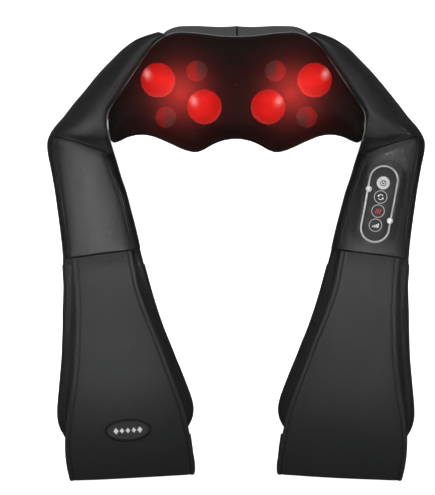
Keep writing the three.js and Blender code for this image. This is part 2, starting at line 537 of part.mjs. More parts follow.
const shoulderProfile = (i) => {
  const t = Math.min(1, i / 4),
    far = Math.max(0, (i - 8) / 4);
  const zb = lerp(24, 3, t),
    zo = lerp(43, 26, t) + 6 * far,
    zc = lerp(62, 82, Math.min(1, i / 3)) - 4 * far,
    zi = lerp(47, 74, Math.min(1, i / 2)),
    uc = lerp(0.5, 0.84, t);
  const arc = (k) => zo + (zc - zo) * Math.sqrt(1 - (1 - k) ** 2);
  return [[0.95, zb], [0.5, zb], [0.08, zb], [0.015, lerp(zb, zo, 0.45)], [0, zo], [uc * 0.07, arc(0.07)], [uc * 0.22, arc(0.22)], [uc * 0.45, arc(0.45)], [uc * 0.72, arc(0.72)], [uc, zc], [lerp(uc, 1, 0.55), lerp(zc, zi, 0.25)], [1, zi], [1, lerp(zb, zi, 0.45)], [1, zb + 3]];
};

const stadiumCut = (grow, z0, z1) => {
  const g = plate(stadium(PANEL.len + grow, PANEL.wid + grow), z0, z1);
  g.rotateZ(rad(PANEL.yaw)).rotateX(rad(PANEL.pitch)).translate(PANEL.x, PANEL.y, PANEL.z);
  return solid(g);
};

for (const [side, sign] of SIDES) {
  // shoulder
  const n = SHOULDER_OUT.length;
  const at = (i, d) => across(SHOULDER_OUT[i], SHOULDER_IN[i], d ? inset(SHOULDER_OUT[i], SHOULDER_IN[i], shoulderProfile(i), d) : shoulderProfile(i));
  const skin = solid(loft(Array.from({ length: n }, (_, i) => at(i, 0))));
  const core = (d, extra) => {
    const rings = Array.from({ length: n - 3 }, (_, i) => at(i, d));
    if (extra) rings.unshift(rings[0].map((p) => [p[0], p[1] - 4, p[2]]));
    return solid(loft(rings));
  };
  const cover = minus(skin, core(2, true), tubGrown);
  const foam = minus(core(2.7, false), tubGrown, solid(block(-400, 400, 100, HINGE_Y + 0.3, -50, 200)));
  add(side + "_shoulder_cover", geometryOf(sided(biggest(cover), sign)), M.leather);
  add(side + "_shoulder_foam", geometryOf(sided(biggest(foam), sign)), M.foam);

  // upper arm
  const sections = ARM_OUT.map((O, i) => [O, ARM_IN[i], oval(ARM_TOP[i], ARM_BOTTOM[i])]);
  const arm = solid(loft(sections.map(([O, I, p]) => across(O, I, p))));
  const armCore = (d, extra) => {
    const rings = sections.map(([O, I, p]) => across(O, I, inset(O, I, p, d)));
    const e = rings.length - 1;
    rings[e] = rings[e].map((p) => [p[0], p[1] + d, p[2]]);
    if (extra) rings.unshift(rings[0].map((p) => [p[0], p[1] + 4, p[2]]));
    return solid(loft(rings));
  };
  let armCover = sided(minus(arm, armCore(2, true)), sign);
  let armFoam = sided(armCore(2.3, false), sign);
  if (side === "right") {
    armCover = minus(armCover, stadiumCut(2 * GAP, -9.5, 20));
    armFoam = minus(armFoam, stadiumCut(2 * GAP, -9.5, 20));
  }
  add(side + "_upper_arm_cover", geometryOf(armCover), M.leather);
  add(side + "_upper_arm_foam", geometryOf(biggest(armFoam)), M.foam);

  // loop back pad
  const padN = PAD.map((p, i) => {
    const a = PAD[(i + PAD.length - 1) % PAD.length],
      b = PAD[(i + 1) % PAD.length],
      dx = b[0] - a[0],
      dy = b[1] - a[1],
      l = Math.hypot(dx, dy);
    return [dy / l, -dx / l];
  });
  const padRing = (z, d) => PAD.map((p, i) => [p[0] - padN[i][0] * d, p[1] - padN[i][1] * d, z]);
  const pad = solid(loft([padRing(0, 5), padRing(2.5, 1.2), padRing(7.5, 0), padRing(12.5, 1.2), padRing(PAD_TOP, 6)]));
  let padHere = sided(pad, sign);
  if (side === "right") padHere = minus(padHere, solid(new THREE.CylinderGeometry(INLET.r + GAP, INLET.r + 2 * GAP, 24, 14).translate(INLET.x, INLET.y, INLET.z)));
  add(side + "_loop_back_pad", geometryOf(padHere), M.leather);

  // hand strap: a band that runs over the hand and turns back under the end of the pad
  const rings = STRAP.map((s, k) => {
    const a = STRAP[Math.max(0, k - 1)],
      b = STRAP[Math.min(STRAP.length - 1, k + 1)];
    const ty = (b[1] + b[3] - a[1] - a[3]) / 2,
      tz = b[4] - a[4],
      l = Math.hypot(ty, tz);
    const ny = -tz / l,
      nz = ty / l,
      h = STRAP_T / 2;
    return [
      [s[0], s[1] + ny * h, s[4] + nz * h],
      [lerp(s[0], s[2], 0.5), lerp(s[1], s[3], 0.5) + ny * h, s[4] + nz * h],
      [s[2], s[3] + ny * h, s[4] + nz * h],
      [s[2], s[3] - ny * h, s[4] - nz * h],
      [lerp(s[0], s[2], 0.5), lerp(s[1], s[3], 0.5) - ny * h, s[4] - nz * h],
      [s[0], s[1] - ny * h, s[4] - nz * h],
    ];
  });
  add(side + "_hand_strap", geometryOf(sided(solid(loft(rings)), sign)), M.strap);
}
function biggest(m) {
  return m.decompose().sort((a, b) => b.volume() - a.volume())[0];
}
// height of the strap's outer face at a given mid-width y
const strapZ = (y) => {
  for (let k = 0; k < 12; k++) {
    const a = (STRAP[k][1] + STRAP[k][3]) / 2,
      b = (STRAP[k + 1][1] + STRAP[k + 1][3]) / 2;
    if (y <= a && y >= b) return lerp(STRAP[k][4], STRAP[k + 1][4], (y - a) / (b - a));
  }
  return 0;
};
{
  const rings = [];
  const tilt = rad(4);
  const point = (q, a, up) => {
    const u = q * BADGE.a * Math.cos(a),
      v = q * BADGE.b * Math.sin(a),
      x = BADGE.x + u * Math.cos(tilt) - v * Math.sin(tilt),
      y = BADGE.y + u * Math.sin(tilt) + v * Math.cos(tilt);
    return [x, y, Math.max(strapZ(y), strapZ(y + 1), strapZ(y - 1)) + STRAP_T / 2 + up];
  };
  const nA = 24;
  for (const [q, up] of [[0.5, 0.7], [1, 0.7], [1, 1.5], [0.94, 1.9], [0.5, 1.9]]) rings.push(Array.from({ length: nA }, (_, i) => point(q, (2 * Math.PI * i) / nA, up)));
  add("badge", loft(rings), M.badge);
}

// ---------------------------------------------------------------- control panel on the right arm
const panel = new THREE.Group();
panel.position.set(PANEL.x, PANEL.y, PANEL.z);
panel.rotation.set(rad(PANEL.pitch), 0, rad(PANEL.yaw)); // yaw first, then the slope of the arm
root.add(panel);
{
  const L = PANEL.len,
    W = PANEL.wid;
  const tray = minus(solid(plate(stadium(L, W), -9, -0.4)), solid(plate(stadium(L - 4, W - 4), -7, 4)));
  add("panel_tray", geometryOf(tray), M.housing, panel);
  add("button_board", plate(stadium(L - 6, W - 6, 6), -6.7, -5.2), M.board, panel);
  let face = solid(plate(stadium(L - 5.4, W - 5.4), -2.2, 0.2));
  for (const [, y, r] of BUTTONS) face = minus(face, solid(rod(r + GAP, -5, 5, 0, y, 18)));
  add("panel_face", geometryOf(face), M.panel, panel);
  add("trim_ring", geometryOf(minus(solid(plate(stadium(L, W, 10), 0, 1.7)), solid(plate(stadium(L - 4.8, W - 4.8, 10), -1, 3)))), M.silver, panel);
  [[-W / 2 + 2.2, 18.6], [W / 2 - 2.2, -20]].forEach(([x, y], i) => add("trim_stud_" + (i + 1), turned([[0, 2], [3.6, 2], [4.2, 3], [3.6, 4.8], [2, 6], [0, 6.4]], 14).translate(x, y, 0), M.silver, panel));
  for (const [name, y, r] of BUTTONS) {
    const top = name === "power_button" ? 2.3 : 1.6;
    add(name, turned([[0, -3.7], [2, -3.7], [2, -0.8], [r, -0.8], [r, top - 0.5], [r - 0.6, top], [0, top]], 18).translate(0, y, 0), name === "power_button" ? M.silver : M.button, panel);
  }
}

// ---------------------------------------------------------------- supply inlet on the end of the right loop pad
{
  const jack = new THREE.Group();
  jack.position.set(INLET.x, INLET.y, INLET.z);
  jack.rotation.set(Math.PI / 2, 0, 0); // group +Z faces -Y, out of the pad's end
  root.add(jack);
  add("supply_inlet", turned([[0, -11], [5.2, -11], [5.2, 1], [6.2, 1], [6.2, 2.2], [3.1, 2.2], [3.1, -8], [1.05, -8], [1.05, 1], [0, 1.3]], 14), M.housing, jack);
}

export default root;
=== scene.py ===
"""Looks of a shiatsu neck massager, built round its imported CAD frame.
Metres, +Z up, in the CAD's own frame. The tables are in millimetres and describe the side at -X, the left one."""

import json
import math

import bmesh
import bpy
import numpy as np
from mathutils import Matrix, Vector
from mathutils.bvhtree import BVHTree


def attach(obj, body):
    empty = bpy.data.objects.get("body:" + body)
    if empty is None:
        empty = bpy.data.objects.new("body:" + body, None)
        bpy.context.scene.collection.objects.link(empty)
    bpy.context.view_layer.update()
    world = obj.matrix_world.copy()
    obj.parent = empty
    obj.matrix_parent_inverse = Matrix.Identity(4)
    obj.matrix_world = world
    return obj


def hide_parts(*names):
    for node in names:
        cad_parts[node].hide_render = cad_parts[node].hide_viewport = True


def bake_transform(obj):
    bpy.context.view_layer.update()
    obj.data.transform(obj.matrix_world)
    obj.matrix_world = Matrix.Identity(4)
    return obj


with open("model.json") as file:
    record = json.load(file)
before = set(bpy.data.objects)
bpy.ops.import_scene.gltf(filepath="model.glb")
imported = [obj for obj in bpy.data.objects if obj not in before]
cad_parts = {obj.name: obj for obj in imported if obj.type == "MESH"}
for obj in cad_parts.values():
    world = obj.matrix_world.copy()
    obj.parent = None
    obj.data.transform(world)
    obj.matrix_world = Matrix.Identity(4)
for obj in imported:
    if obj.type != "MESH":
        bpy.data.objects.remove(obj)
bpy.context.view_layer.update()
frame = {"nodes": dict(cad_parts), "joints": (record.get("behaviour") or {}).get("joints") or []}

NODES = frame["nodes"]
JOINTS = {j["name"]: j for j in frame["joints"]}
CY = JOINTS["left_rotor_spin"]["pos_m"][1] * 1000 - 223.0  # the tables' y to the frame's y
RNG = np.random.default_rng(559)

# ------------------------------------------------------------------ dimensions, as in the CAD source
ROTOR_X, ROTOR_Y = 75.0, 223.0
LARGE_R, LARGE_AT, LARGE_Z, LARGE_DEG = 23.5, 36.5, 81.2, 150
SMALL_R, SMALL_AT, SMALL_Z, SMALL_DEG = 14.5, 38.0, 72.5, 56
RIM_Z, GAP, DOME_H, DOME_D = 72.0, 0.3, 41.5, 38.0
HINGE_Y, HINGE_Z = 157.5, 62.6
PANEL = dict(x=197.5, y=73.2, z=46.0, yaw=-9.7, pitch=9.5, len=109.0, wid=41.0)
BUTTONS = [("power_button", 29.9, 8.9), ("direction_button", 10, 8.2), ("heat_button", -9.9, 8.2), ("intensity_button", -29.8, 8.2)]
RIM = [[0, 301.3], [-20.7, 302], [-37.1, 303.9], [-53.6, 306], [-74.8, 307.2], [-84.4, 306.5], [-94.9, 302.8], [-104.1, 297.1], [-115.8, 286.7], [-126.1, 272.2], [-137.7, 254.6], [-152, 233.3], [-163.6, 216.5], [-172.1, 203.6], [-175.7, 193.5], [-176.1, 184.8], [-175.4, 174.5], [-173.2, 165.2], [-172.1, 160.6], [-171.2, 157.6], [-167.0, 158.2], [-160.5, 160.8], [-154, 164], [-144.5, 167], [-133.6, 168.4], [-122.6, 167.6], [-111.7, 164.6], [-100.8, 160.1], [-89.8, 155.3], [-78.9, 150.1], [-68, 145.9], [-56, 143.9], [-46.1, 146.8], [-40, 150.2], [-31.1, 155.1], [-21.5, 159], [-10.6, 161.6], [0, 162.5]]
SHOULDER_OUT = [[-261, 157.9], [-260.4, 163.2], [-256.3, 172.8], [-248.2, 183.9], [-238.8, 194.9], [-225.6, 211.5], [-212.2, 228.1], [-194, 250.2], [-173, 272.3], [-156, 288.9], [-137.8, 301.3], [-118.4, 308.2], [-106, 311.5]]
SHOULDER_IN = [[-172, 157.9], [-172.4, 161.5], [-174.6, 171.1], [-176.9, 181.4], [-176.9, 191.6], [-172.4, 203.4], [-161.6, 218.9], [-145.9, 243.5], [-130.1, 266.1], [-117.2, 284.5], [-105.6, 297.5], [-99.4, 300.9], [-95.5, 303.5]]
ARM_OUT = [[-261, 157.1], [-260.8, 145.4], [-257.3, 127.5], [-254, 108.1], [-251.1, 88.7], [-248, 63.8], [-245, 40.3], [-242.5, 18.1], [-240.6, -3]]
ARM_IN = [[-172, 157.1], [-169, 146.1], [-164, 129.5], [-158.5, 110.8], [-152.1, 91.5], [-146.3, 69.3], [-140.5, 47.2], [-135.5, 26.4], [-132.1, 10.8]]
ARM_TOP = [62, 58.5, 54.5, 50.5, 46.5, 42.5, 39, 36.5, 35]
ARM_BOTTOM = [24, 20, 15.5, 11, 7, 3.5, 1, 0, 0]
PAD = [[-241.3, 4.5], [-241.7, -6.0], [-241, -20.9], [-239.8, -37.6], [-240.1, -57.2], [-240.8, -76.7], [-241, -99], [-241.7, -121.3], [-242.7, -143.7], [-244.4, -163.2], [-246.1, -182.7], [-247.7, -199.5], [-248.6, -213.4], [-248.3, -224.6], [-245.8, -235.8], [-241, -245.5], [-231.3, -252.5], [-180, -249.5], [-128, -246.4], [-77.8, -243.4], [-68, -236.5], [-63.3, -228.8], [-60.6, -220.4], [-59.9, -209.3], [-62.7, -196], [-68, -181.3], [-75.3, -162.5], [-83.4, -143], [-92, -121.3], [-100.5, -100.4], [-107.9, -79.5], [-114.6, -58.6], [-121, -36.2], [-127.3, -12.5], [-132.6, 8.0], [-134.6, 17.0]]
PAD_TOP = 15.0
STRAP = [[-227.4, -2.8, -144.7, 7.8, 33], [-226, -9, -143, 2, 37], [-223.5, -24, -140, -13, 47], [-220.8, -50, -134, -40, 58], [-219.5, -85, -121, -77, 67], [-219.9, -120, -105.5, -115, 71.5], [-221.8, -150, -93.5, -147, 72], [-225.5, -182, -80.5, -181, 69], [-231, -215, -69.5, -214, 63], [-235, -245, -63.5, -243, 54], [-235.9, -270, -59.3, -267, 43], [-234.5, -290, -56.8, -284, 32], [-232.5, -304.5, -56.5, -296.5, 22], [-231.5, -310.8, -57.7, -301.8, 13], [-231.5, -307, -58, -298, 5], [-232, -297, -58, -289, 1.7], [-233, -275, -60, -268, 1.7], [-234, -257, -63, -247, 1.7]]
STRAP_T = 3.0
INLET = dict(x=150.0, y=-248.0, z=7.5, r=5.2)
BADGE = dict(x=-148.5, y=-237.8, a=28.0, b=12.0)
SIDES = (("left", 1.0), ("right", -1.0))


# ------------------------------------------------------------------ helpers: numbers
def smooth01(t):
    t = np.clip(t, 0.0, 1.0)
    return t * t * (3 - 2 * t)


def spline(rows):
    """Catmull-Rom through rows, as a function of a float index."""
    a = np.asarray(rows, float)

    def at(t):
        t = np.atleast_1d(np.clip(np.asarray(t, float), 0, len(a) - 1))
        i = np.minimum(t.astype(int), len(a) - 2)
        f = (t - i)[:, None]
        p0, p1, p2, p3 = a[np.maximum(i - 1, 0)], a[i], a[i + 1], a[np.minimum(i + 2, len(a) - 1)]
        return 0.5 * (2 * p1 + (p2 - p0) * f + (2 * p0 - 5 * p1 + 4 * p2 - p3) * f**2 + (3 * p1 - p0 - 3 * p2 + p3) * f**3)

    return at


def even(points, step=None, n=None, closed=False):
    """The same polyline with points spaced evenly along it."""
    p = np.asarray(points, float)
    if closed:
        p = np.vstack([p, p[:1]])
    s = np.concatenate([[0], np.cumsum(np.linalg.norm(np.diff(p, axis=0), axis=1))])
    if n is None:
        n = max(2, int(round(s[-1] / step)) + (0 if closed else 1))
    t = np.linspace(0, s[-1], n + 1)[:-1] if closed else np.linspace(0, s[-1], n)
    return np.stack([np.interp(t, s, p[:, k]) for k in range(p.shape[1])], 1)


def curve(points, step):
    """A smooth line through points, evenly spaced."""
    return even(spline(points)(np.linspace(0, len(points) - 1, 24 * len(points))), step=step)


def smooth_open(points, step):
    """A closed outline, smooth along its points and straight from the last one back to the first."""
    p = np.asarray(points, float)
    q = spline(p)(np.linspace(0, len(p) - 1, 16 * len(p)))
    return even(q, step=step, closed=True)


def smooth_closed(points, step):
    p = np.asarray(points, float)
    n = len(p)
    q = spline(np.vstack([p[-2:], p, p[:3]]))(np.linspace(2, n + 2, 16 * n + 1))[:-1]
    return even(q, step=step, closed=True)


def rows_noise(p, scale, seed):
    """Smooth value noise in -1..1 at 3-D points, the same on every run."""
    r = np.random.default_rng(seed).uniform(-1, 1, (17, 17, 17))
    q = np.asarray(p, float) / scale
    i = np.floor(q).astype(int)
    f = q - i
    f = f * f * (3 - 2 * f)
    out = np.zeros(len(q))
    for dx in (0, 1):
        for dy in (0, 1):
            for dz in (0, 1):
                w = (f[:, 0] if dx else 1 - f[:, 0]) * (f[:, 1] if dy else 1 - f[:, 1]) * (f[:, 2] if dz else 1 - f[:, 2])
                out += w * r[(i[:, 0] + dx) % 17, (i[:, 1] + dy) % 17, (i[:, 2] + dz) % 17]
    return out


def distance_to(path, xy):
    """Distance of each xy from a polyline, and how far along it, in millimetres."""
    path, xy = np.asarray(path, float)[:, :2], np.asarray(xy, float)[:, :2]
    best, at, s0 = np.full(len(xy), 1e9), np.zeros(len(xy)), 0.0
    for a, b in zip(path[:-1], path[1:]):
        d = b - a
        l2 = d @ d
        if l2 < 1e-12:
            continue
        t = np.clip(((xy - a) @ d) / l2, 0, 1)
        r = np.linalg.norm(xy - a - t[:, None] * d, axis=1)
        closer = r < best
        best[closer], at[closer] = r[closer], s0 + t[closer] * math.sqrt(l2)
        s0 += math.sqrt(l2)
    return best, at


def inside(poly, xy):
    """Which points lie inside a closed polygon."""
    poly, xy = np.asarray(poly, float), np.asarray(xy, float)
    hit = np.zeros(len(xy), bool)
    for a, b in zip(poly, np.roll(poly, -1, 0)):
        if a[1] == b[1]:
            continue
        c = (xy[:, 1] > min(a[1], b[1])) & (xy[:, 1] <= max(a[1], b[1]))
        hit ^= c & (xy[:, 0] < a[0] + (xy[:, 1] - a[1]) * (b[0] - a[0]) / (b[1] - a[1]))
    return hit


# ------------------------------------------------------------------ helpers: meshes
def to_world(v):
    v = np.array(v, float)
    v[:, 1] += CY
    return v / 1000


def mirror(v, sign):
    v = np.array(v, float)
    if sign < 0:
        v[:, 0] *= -1
    return v


def build(name, verts, faces, material, smooth=True, side=1.0, indices=None):
    """A mesh object from points in table millimetres. side -1 mirrors it in X. material may be a list, picked by indices."""
    v = to_world(mirror(verts, side))
    faces = [tuple(int(i) for i in f) for f in faces]
    if side < 0:
        faces = [f[::-1] for f in faces]
    me = bpy.data.meshes.new(name)
    me.from_pydata(v.tolist(), [], faces)
    for m in material if isinstance(material, (list, tuple)) else [material]:
        me.materials.append(m)
    if indices is not None:
        me.polygons.foreach_set("material_index", np.asarray(indices, np.int32))
    me.polygons.foreach_set("use_smooth", [smooth] * len(faces))
    me.update()
    ob = bpy.data.objects.new(name, me)
    bpy.context.scene.collection.objects.link(ob)
    return ob


def face_out(ob):
    bm = bmesh.new()
    bm.from_mesh(ob.data)
    bmesh.ops.recalc_face_normals(bm, faces=bm.faces[:])
    bm.to_mesh(ob.data)
    bm.free()
    return ob


def zip_cap(ids):
    """Quads across a ring of points, pairing its two halves."""
    i, j, f = 0, len(ids) - 1, []
    while j - i >= 3:
        f.append((ids[i], ids[i + 1], ids[j - 1], ids[j]))
        i, j = i + 1, j - 1
    if j - i == 2:
        f.append((ids[i], ids[i + 1], ids[j]))
    return f


def grid_faces(rows, cols, wrap_cols=True, wrap_rows=False, cap=True):
    """Quads over rows of points, with both ends closed if cap."""
    f = []
    for i in range(rows if wrap_rows else rows - 1):
        a, b = i * cols, ((i + 1) % rows) * cols
        for j in range(cols if wrap_cols else cols - 1):
            k = (j + 1) % cols
            f.append((a + j, a + k, b + k, b + j))
    if cap and not wrap_rows:
        f += [q[::-1] for q in zip_cap(list(range(cols)))]
        f += zip_cap([(rows - 1) * cols + j for j in range(cols)])
    return f


def coords(ob):
    c = np.zeros(len(ob.data.vertices) * 3, np.float32)
    ob.data.vertices.foreach_get("co", c)
    return c.reshape(-1, 3).astype(float)


def set_coords(ob, c):
    ob.data.vertices.foreach_set("co", np.asarray(c, np.float32).ravel())
    ob.data.update()


def table_mm(ob):
    c = coords(ob) * 1000
    c[:, 1] -= CY
    return c


def bake(ob):
    """Applies the modifiers."""
    dg = bpy.context.evaluated_depsgraph_get()
    me = bpy.data.meshes.new_from_object(ob.evaluated_get(dg), preserve_all_data_layers=True, depsgraph=dg)
    old = ob.data
    ob.modifiers.clear()
    ob.data = me
    bpy.data.meshes.remove(old)
    return ob


def subdivide(ob, levels=1):
    m = ob.modifiers.new("subdivide", "SUBSURF")
    m.levels = m.render_levels = levels
    m.boundary_smooth = "PRESERVE_CORNERS"
    return bake(ob)


def auto_smooth(ob, degrees=35):
    """Smooth shading with sharp edges above an angle."""
    bm = bmesh.new()
    bm.from_mesh(ob.data)
    for e in bm.edges:
        e.smooth = not (len(e.link_faces) == 2 and e.calc_face_angle(0) > math.radians(degrees))
    for f in bm.faces:
        f.smooth = True
    bm.to_mesh(ob.data)
    bm.free()
    return ob


def tree_of(*obs):
    """A search tree over objects, in table millimetres."""
    verts, faces = [], []
    for ob in obs:
        k = len(verts)
        verts += table_mm(ob).tolist()
        faces += [tuple(k + i for i in p.vertices) for p in ob.data.polygons]
    return BVHTree.FromPolygons(verts, faces)


def inflate(ob, pinned, pressure=4.0, cap=3.5, stiffness=12.0):
    """Cloth blown up between its pinned points, then applied. pinned is a weight for each point, cap is in millimetres."""
    rest = coords(ob)
    group = ob.vertex_groups.new(name="pin")
    for w in np.unique(np.round(pinned, 1)):
        if w > 0:
            group.add(np.nonzero(np.round(pinned, 1) == w)[0].tolist(), float(w), "REPLACE")
    cloth = ob.modifiers.new("cloth", "CLOTH")
    s = cloth.settings
    s.quality, s.mass, s.air_damping = 5, 0.25, 2.0
    s.tension_stiffness = s.compression_stiffness = stiffness
    s.shear_stiffness, s.bending_stiffness = 6.0, 0.8
    s.use_pressure, s.uniform_pressure_force = True, pressure
    s.vertex_group_mass, s.pin_stiffness = "pin", 1.0
    s.effector_weights.gravity = 0
    cloth.collision_settings.use_collision = False
    cloth.point_cache.frame_start, cloth.point_cache.frame_end = 1, 20
    scene = bpy.context.scene
    for f in range(1, 21):
        scene.frame_set(f)
    dg = bpy.context.evaluated_depsgraph_get()
    e = ob.evaluated_get(dg)
    now = np.zeros(len(rest) * 3, np.float32)
    e.data.vertices.foreach_get("co", now)
    move = now.reshape(-1, 3) - rest
    ob.modifiers.clear()
    scene.frame_set(1)
    length = np.linalg.norm(move, axis=1, keepdims=True)
    c = cap / 1000
    move *= np.where(length > 1e-9, c * np.tanh(length / c) / np.maximum(length, 1e-9), 0)
    set_coords(ob, rest + move)
    print("inflated", ob.name, "most", round(float(length.max()) * 1000, 2), "mean", round(float(length.mean()) * 1000, 2))
    return ob


# ------------------------------------------------------------------ materials
class Nodes:
    """A small helper round one material's node tree."""

    def __init__(self, name):
        self.mat = bpy.data.materials.new(name)
        self.mat.use_nodes = True
        self.t = self.mat.node_tree
        self.t.nodes.clear()
        self.out = self.t.nodes.new("ShaderNodeOutputMaterial")
        self.p = self.t.nodes.new("ShaderNodeBsdfPrincipled")
        self.t.links.new(self.p.outputs[0], self.out.inputs[0])
        self.co = self.t.nodes.new("ShaderNodeTexCoord").outputs["Object"]

    def new(self, kind, **props):
        n = self.t.nodes.new(kind)
        for k, v in props.items():
            setattr(n, k, v)
        return n

    def link(self, a, b):
        self.t.links.new(a, b)

    def set(self, **values):
        for k, v in values.items():
            self.p.inputs[k.replace("_", " ")].default_value = v

    def noise(self, scale, detail=3.0, rough=0.55, co=None, distort=0.0):
        n = self.new("ShaderNodeTexNoise")
        n.inputs["Scale"].default_value, n.inputs["Detail"].default_value = scale, detail
        n.inputs["Roughness"].default_value, n.inputs["Distortion"].default_value = rough, distort
        self.link(co or self.co, n.inputs["Vector"])
        return n.outputs["Fac"]

    def voronoi(self, scale, feature="F1", co=None, rand=1.0):
        n = self.new("ShaderNodeTexVoronoi", feature=feature)
        n.inputs["Scale"].default_value = scale
        n.inputs["Randomness"].default_value = rand
        self.link(co or self.co, n.inputs["Vector"])
        return n.outputs["Distance"]

    def ramp(self, fac, stops, mode="LINEAR"):
        n = self.new("ShaderNodeValToRGB")
        n.color_ramp.interpolation = mode
        e = n.color_ramp.elements
        while len(e) < len(stops):
            e.new(0.5)
        for el, (at, c) in zip(e, stops):
            el.position = at
            el.color = (*c, 1) if hasattr(c, "__len__") else (c, c, c, 1)
        self.link(fac, n.inputs[0])
        return n.outputs[0]

    def math(self, op, a, b=None, c=None, clamp=False):
        n = self.new("ShaderNodeMath", operation=op, use_clamp=clamp)
        for i, x in enumerate((a, b, c)):
            if x is None:
                continue
            if isinstance(x, (int, float)):
                n.inputs[i].default_value = x
            else:
                self.link(x, n.inputs[i])
        return n.outputs[0]

    def mix(self, fac, a, b, kind="MIX"):
        n = self.new("ShaderNodeMix", data_type="RGBA", blend_type=kind)
        for i, x in ((0, fac), (6, a), (7, b)):
            if isinstance(x, (int, float)):
                n.inputs[i].default_value = x
            elif hasattr(x, "__len__"):
                n.inputs[i].default_value = (*x, 1)
            else:
                self.link(x, n.inputs[i])
        return n.outputs[2]

    def bump(self, height, strength, distance, normal=None):
        n = self.new("ShaderNodeBump")
        n.inputs["Strength"].default_value, n.inputs["Distance"].default_value = strength, distance
        self.link(height, n.inputs["Height"])
        if normal is not None:
            self.link(normal, n.inputs["Normal"])
        return n.outputs[0]

    def split(self, co=None):
        n = self.new("ShaderNodeSeparateXYZ")
        self.link(co or self.co, n.inputs[0])
        return n.outputs


def leather(name, dark, light, rough=(0.40, 0.54), grain=1.0, crease=0.5, spec=0.5, sheen=0.0):
    """Embossed faux leather: pebbles about 1.2 mm across in a net of fine creases, slightly uneven in colour and gloss."""
    g = Nodes(name)
    wob = g.noise(60, 2)
    pebble = g.voronoi(820, "DISTANCE_TO_EDGE")
    fine = g.voronoi(2100, "DISTANCE_TO_EDGE")
    soft = g.noise(1500, 2)
    tone = g.noise(9, 4, 0.6)
    patch = g.noise(34, 3, 0.6)
    valley = g.ramp(pebble, [(0.0, 0.0), (0.22, 1.0)])
    base = g.mix(tone, dark, light)
    base = g.mix(g.math("MULTIPLY", patch, 0.35), base, [0.5 * (a + b) * 1.18 for a, b in zip(dark, light)])
    base = g.mix(g.math("MULTIPLY", g.math("SUBTRACT", 1.0, valley), 0.55), base, [0.55 * a for a in dark])
    g.link(base, g.p.inputs["Base Color"])
    r = g.math("ADD", g.math("MULTIPLY", patch, rough[1] - rough[0]), rough[0] - 0.02)
    r = g.math("ADD", r, g.math("MULTIPLY", g.math("SUBTRACT", 1.0, valley), 0.10))
    g.link(r, g.p.inputs["Roughness"])
    h = g.math("ADD", g.math("MULTIPLY", g.ramp(pebble, [(0.0, 0.0), (0.12, 0.55), (0.45, 1.0)]), 0.7), g.math("MULTIPLY", g.ramp(fine, [(0.0, 0.0), (0.3, 1.0)]), 0.2))
    h = g.math("ADD", h, g.math("MULTIPLY", soft, 0.25))
    n1 = g.bump(g.math("ADD", g.math("MULTIPLY", wob, 1.0), g.math("MULTIPLY", g.noise(22, 3, 0.5, distort=0.6), 1.4)), crease, 0.0012)
    g.link(g.bump(h, 0.55 * grain, 0.00022, n1), g.p.inputs["Normal"])
    g.set(IOR=1.5)
    g.p.inputs["Specular IOR Level"].default_value = spec
    if sheen:
        g.p.inputs["Sheen Weight"].default_value = sheen
        g.p.inputs["Sheen Roughness"].default_value = 0.4
    return g.mat


def plastic(name, colour, rough=0.45, spark=0.5, spec=0.5, scale=2600, metal=0.0):
    """Moulded plastic with a fine spark-eroded texture."""
    g = Nodes(name)
    t = g.noise(40, 3)
    g.link(g.mix(t, [c * 0.86 for c in colour], [min(1, c * 1.12) for c in colour]), g.p.inputs["Base Color"])
    g.link(g.math("ADD", g.math("MULTIPLY", g.noise(160, 3), 0.14), rough - 0.07), g.p.inputs["Roughness"])
    g.link(g.bump(g.noise(scale, 3, 0.6), spark, 0.00006), g.p.inputs["Normal"])
    g.p.inputs["Specular IOR Level"].default_value = spec
    g.p.inputs["Metallic"].default_value = metal
    return g.mat


def metal(name, colour, rough=0.25, brushed=(1, 1, 30), wear=0.12):
    """Machined or pressed metal: brushed one way, with duller patches."""
    g = Nodes(name)
    mp = g.new("ShaderNodeMapping")
    mp.inputs["Scale"].default_value = brushed
    g.link(g.co, mp.inputs[0])
    lines = g.noise(420, 4, 0.6, co=mp.outputs[0])
    patch = g.noise(70, 3)
    g.link(g.mix(patch, [c * 0.82 for c in colour], colour), g.p.inputs["Base Color"])
    g.link(g.math("ADD", g.math("MULTIPLY", patch, wear), g.math("ADD", g.math("MULTIPLY", lines, 0.12), rough - 0.08)), g.p.inputs["Roughness"])
    g.link(g.bump(lines, 0.25, 0.00008), g.p.inputs["Normal"])
    g.p.inputs["Metallic"].default_value = 1.0
    return g.mat


def satin(name, colour, rough, metallic):
    """Plated plastic trim: a thin metal film over a pale base, with faint flow marks."""
    g = Nodes(name)
    flow = g.noise(120, 3, 0.6)
    g.link(g.mix(flow, [c * 0.9 for c in colour], [min(1, c * 1.08) for c in colour]), g.p.inputs["Base Color"])
    g.link(g.math("ADD", g.math("MULTIPLY", flow, 0.1), rough - 0.05), g.p.inputs["Roughness"])
    g.link(g.bump(g.noise(700, 2), 0.12, 0.00006), g.p.inputs["Normal"])
    g.p.inputs["Metallic"].default_value = metallic
    return g.mat


def board_material():
    g = Nodes("circuit_board")
    x, y, _ = g.split()
    mask = g.math("GREATER_THAN", g.math("FRACT", g.math("MULTIPLY", g.math("ADD", g.noise(300, 1), y), 260)), 0.7)
    g.link(g.mix(mask, (0.012, 0.10, 0.035), (0.05, 0.22, 0.08)), g.p.inputs["Base Color"])
    g.link(g.math("ADD", g.math("MULTIPLY", mask, 0.2), 0.3), g.p.inputs["Roughness"])
    g.link(g.bump(mask, 0.4, 0.00005), g.p.inputs["Normal"])
    return g.mat


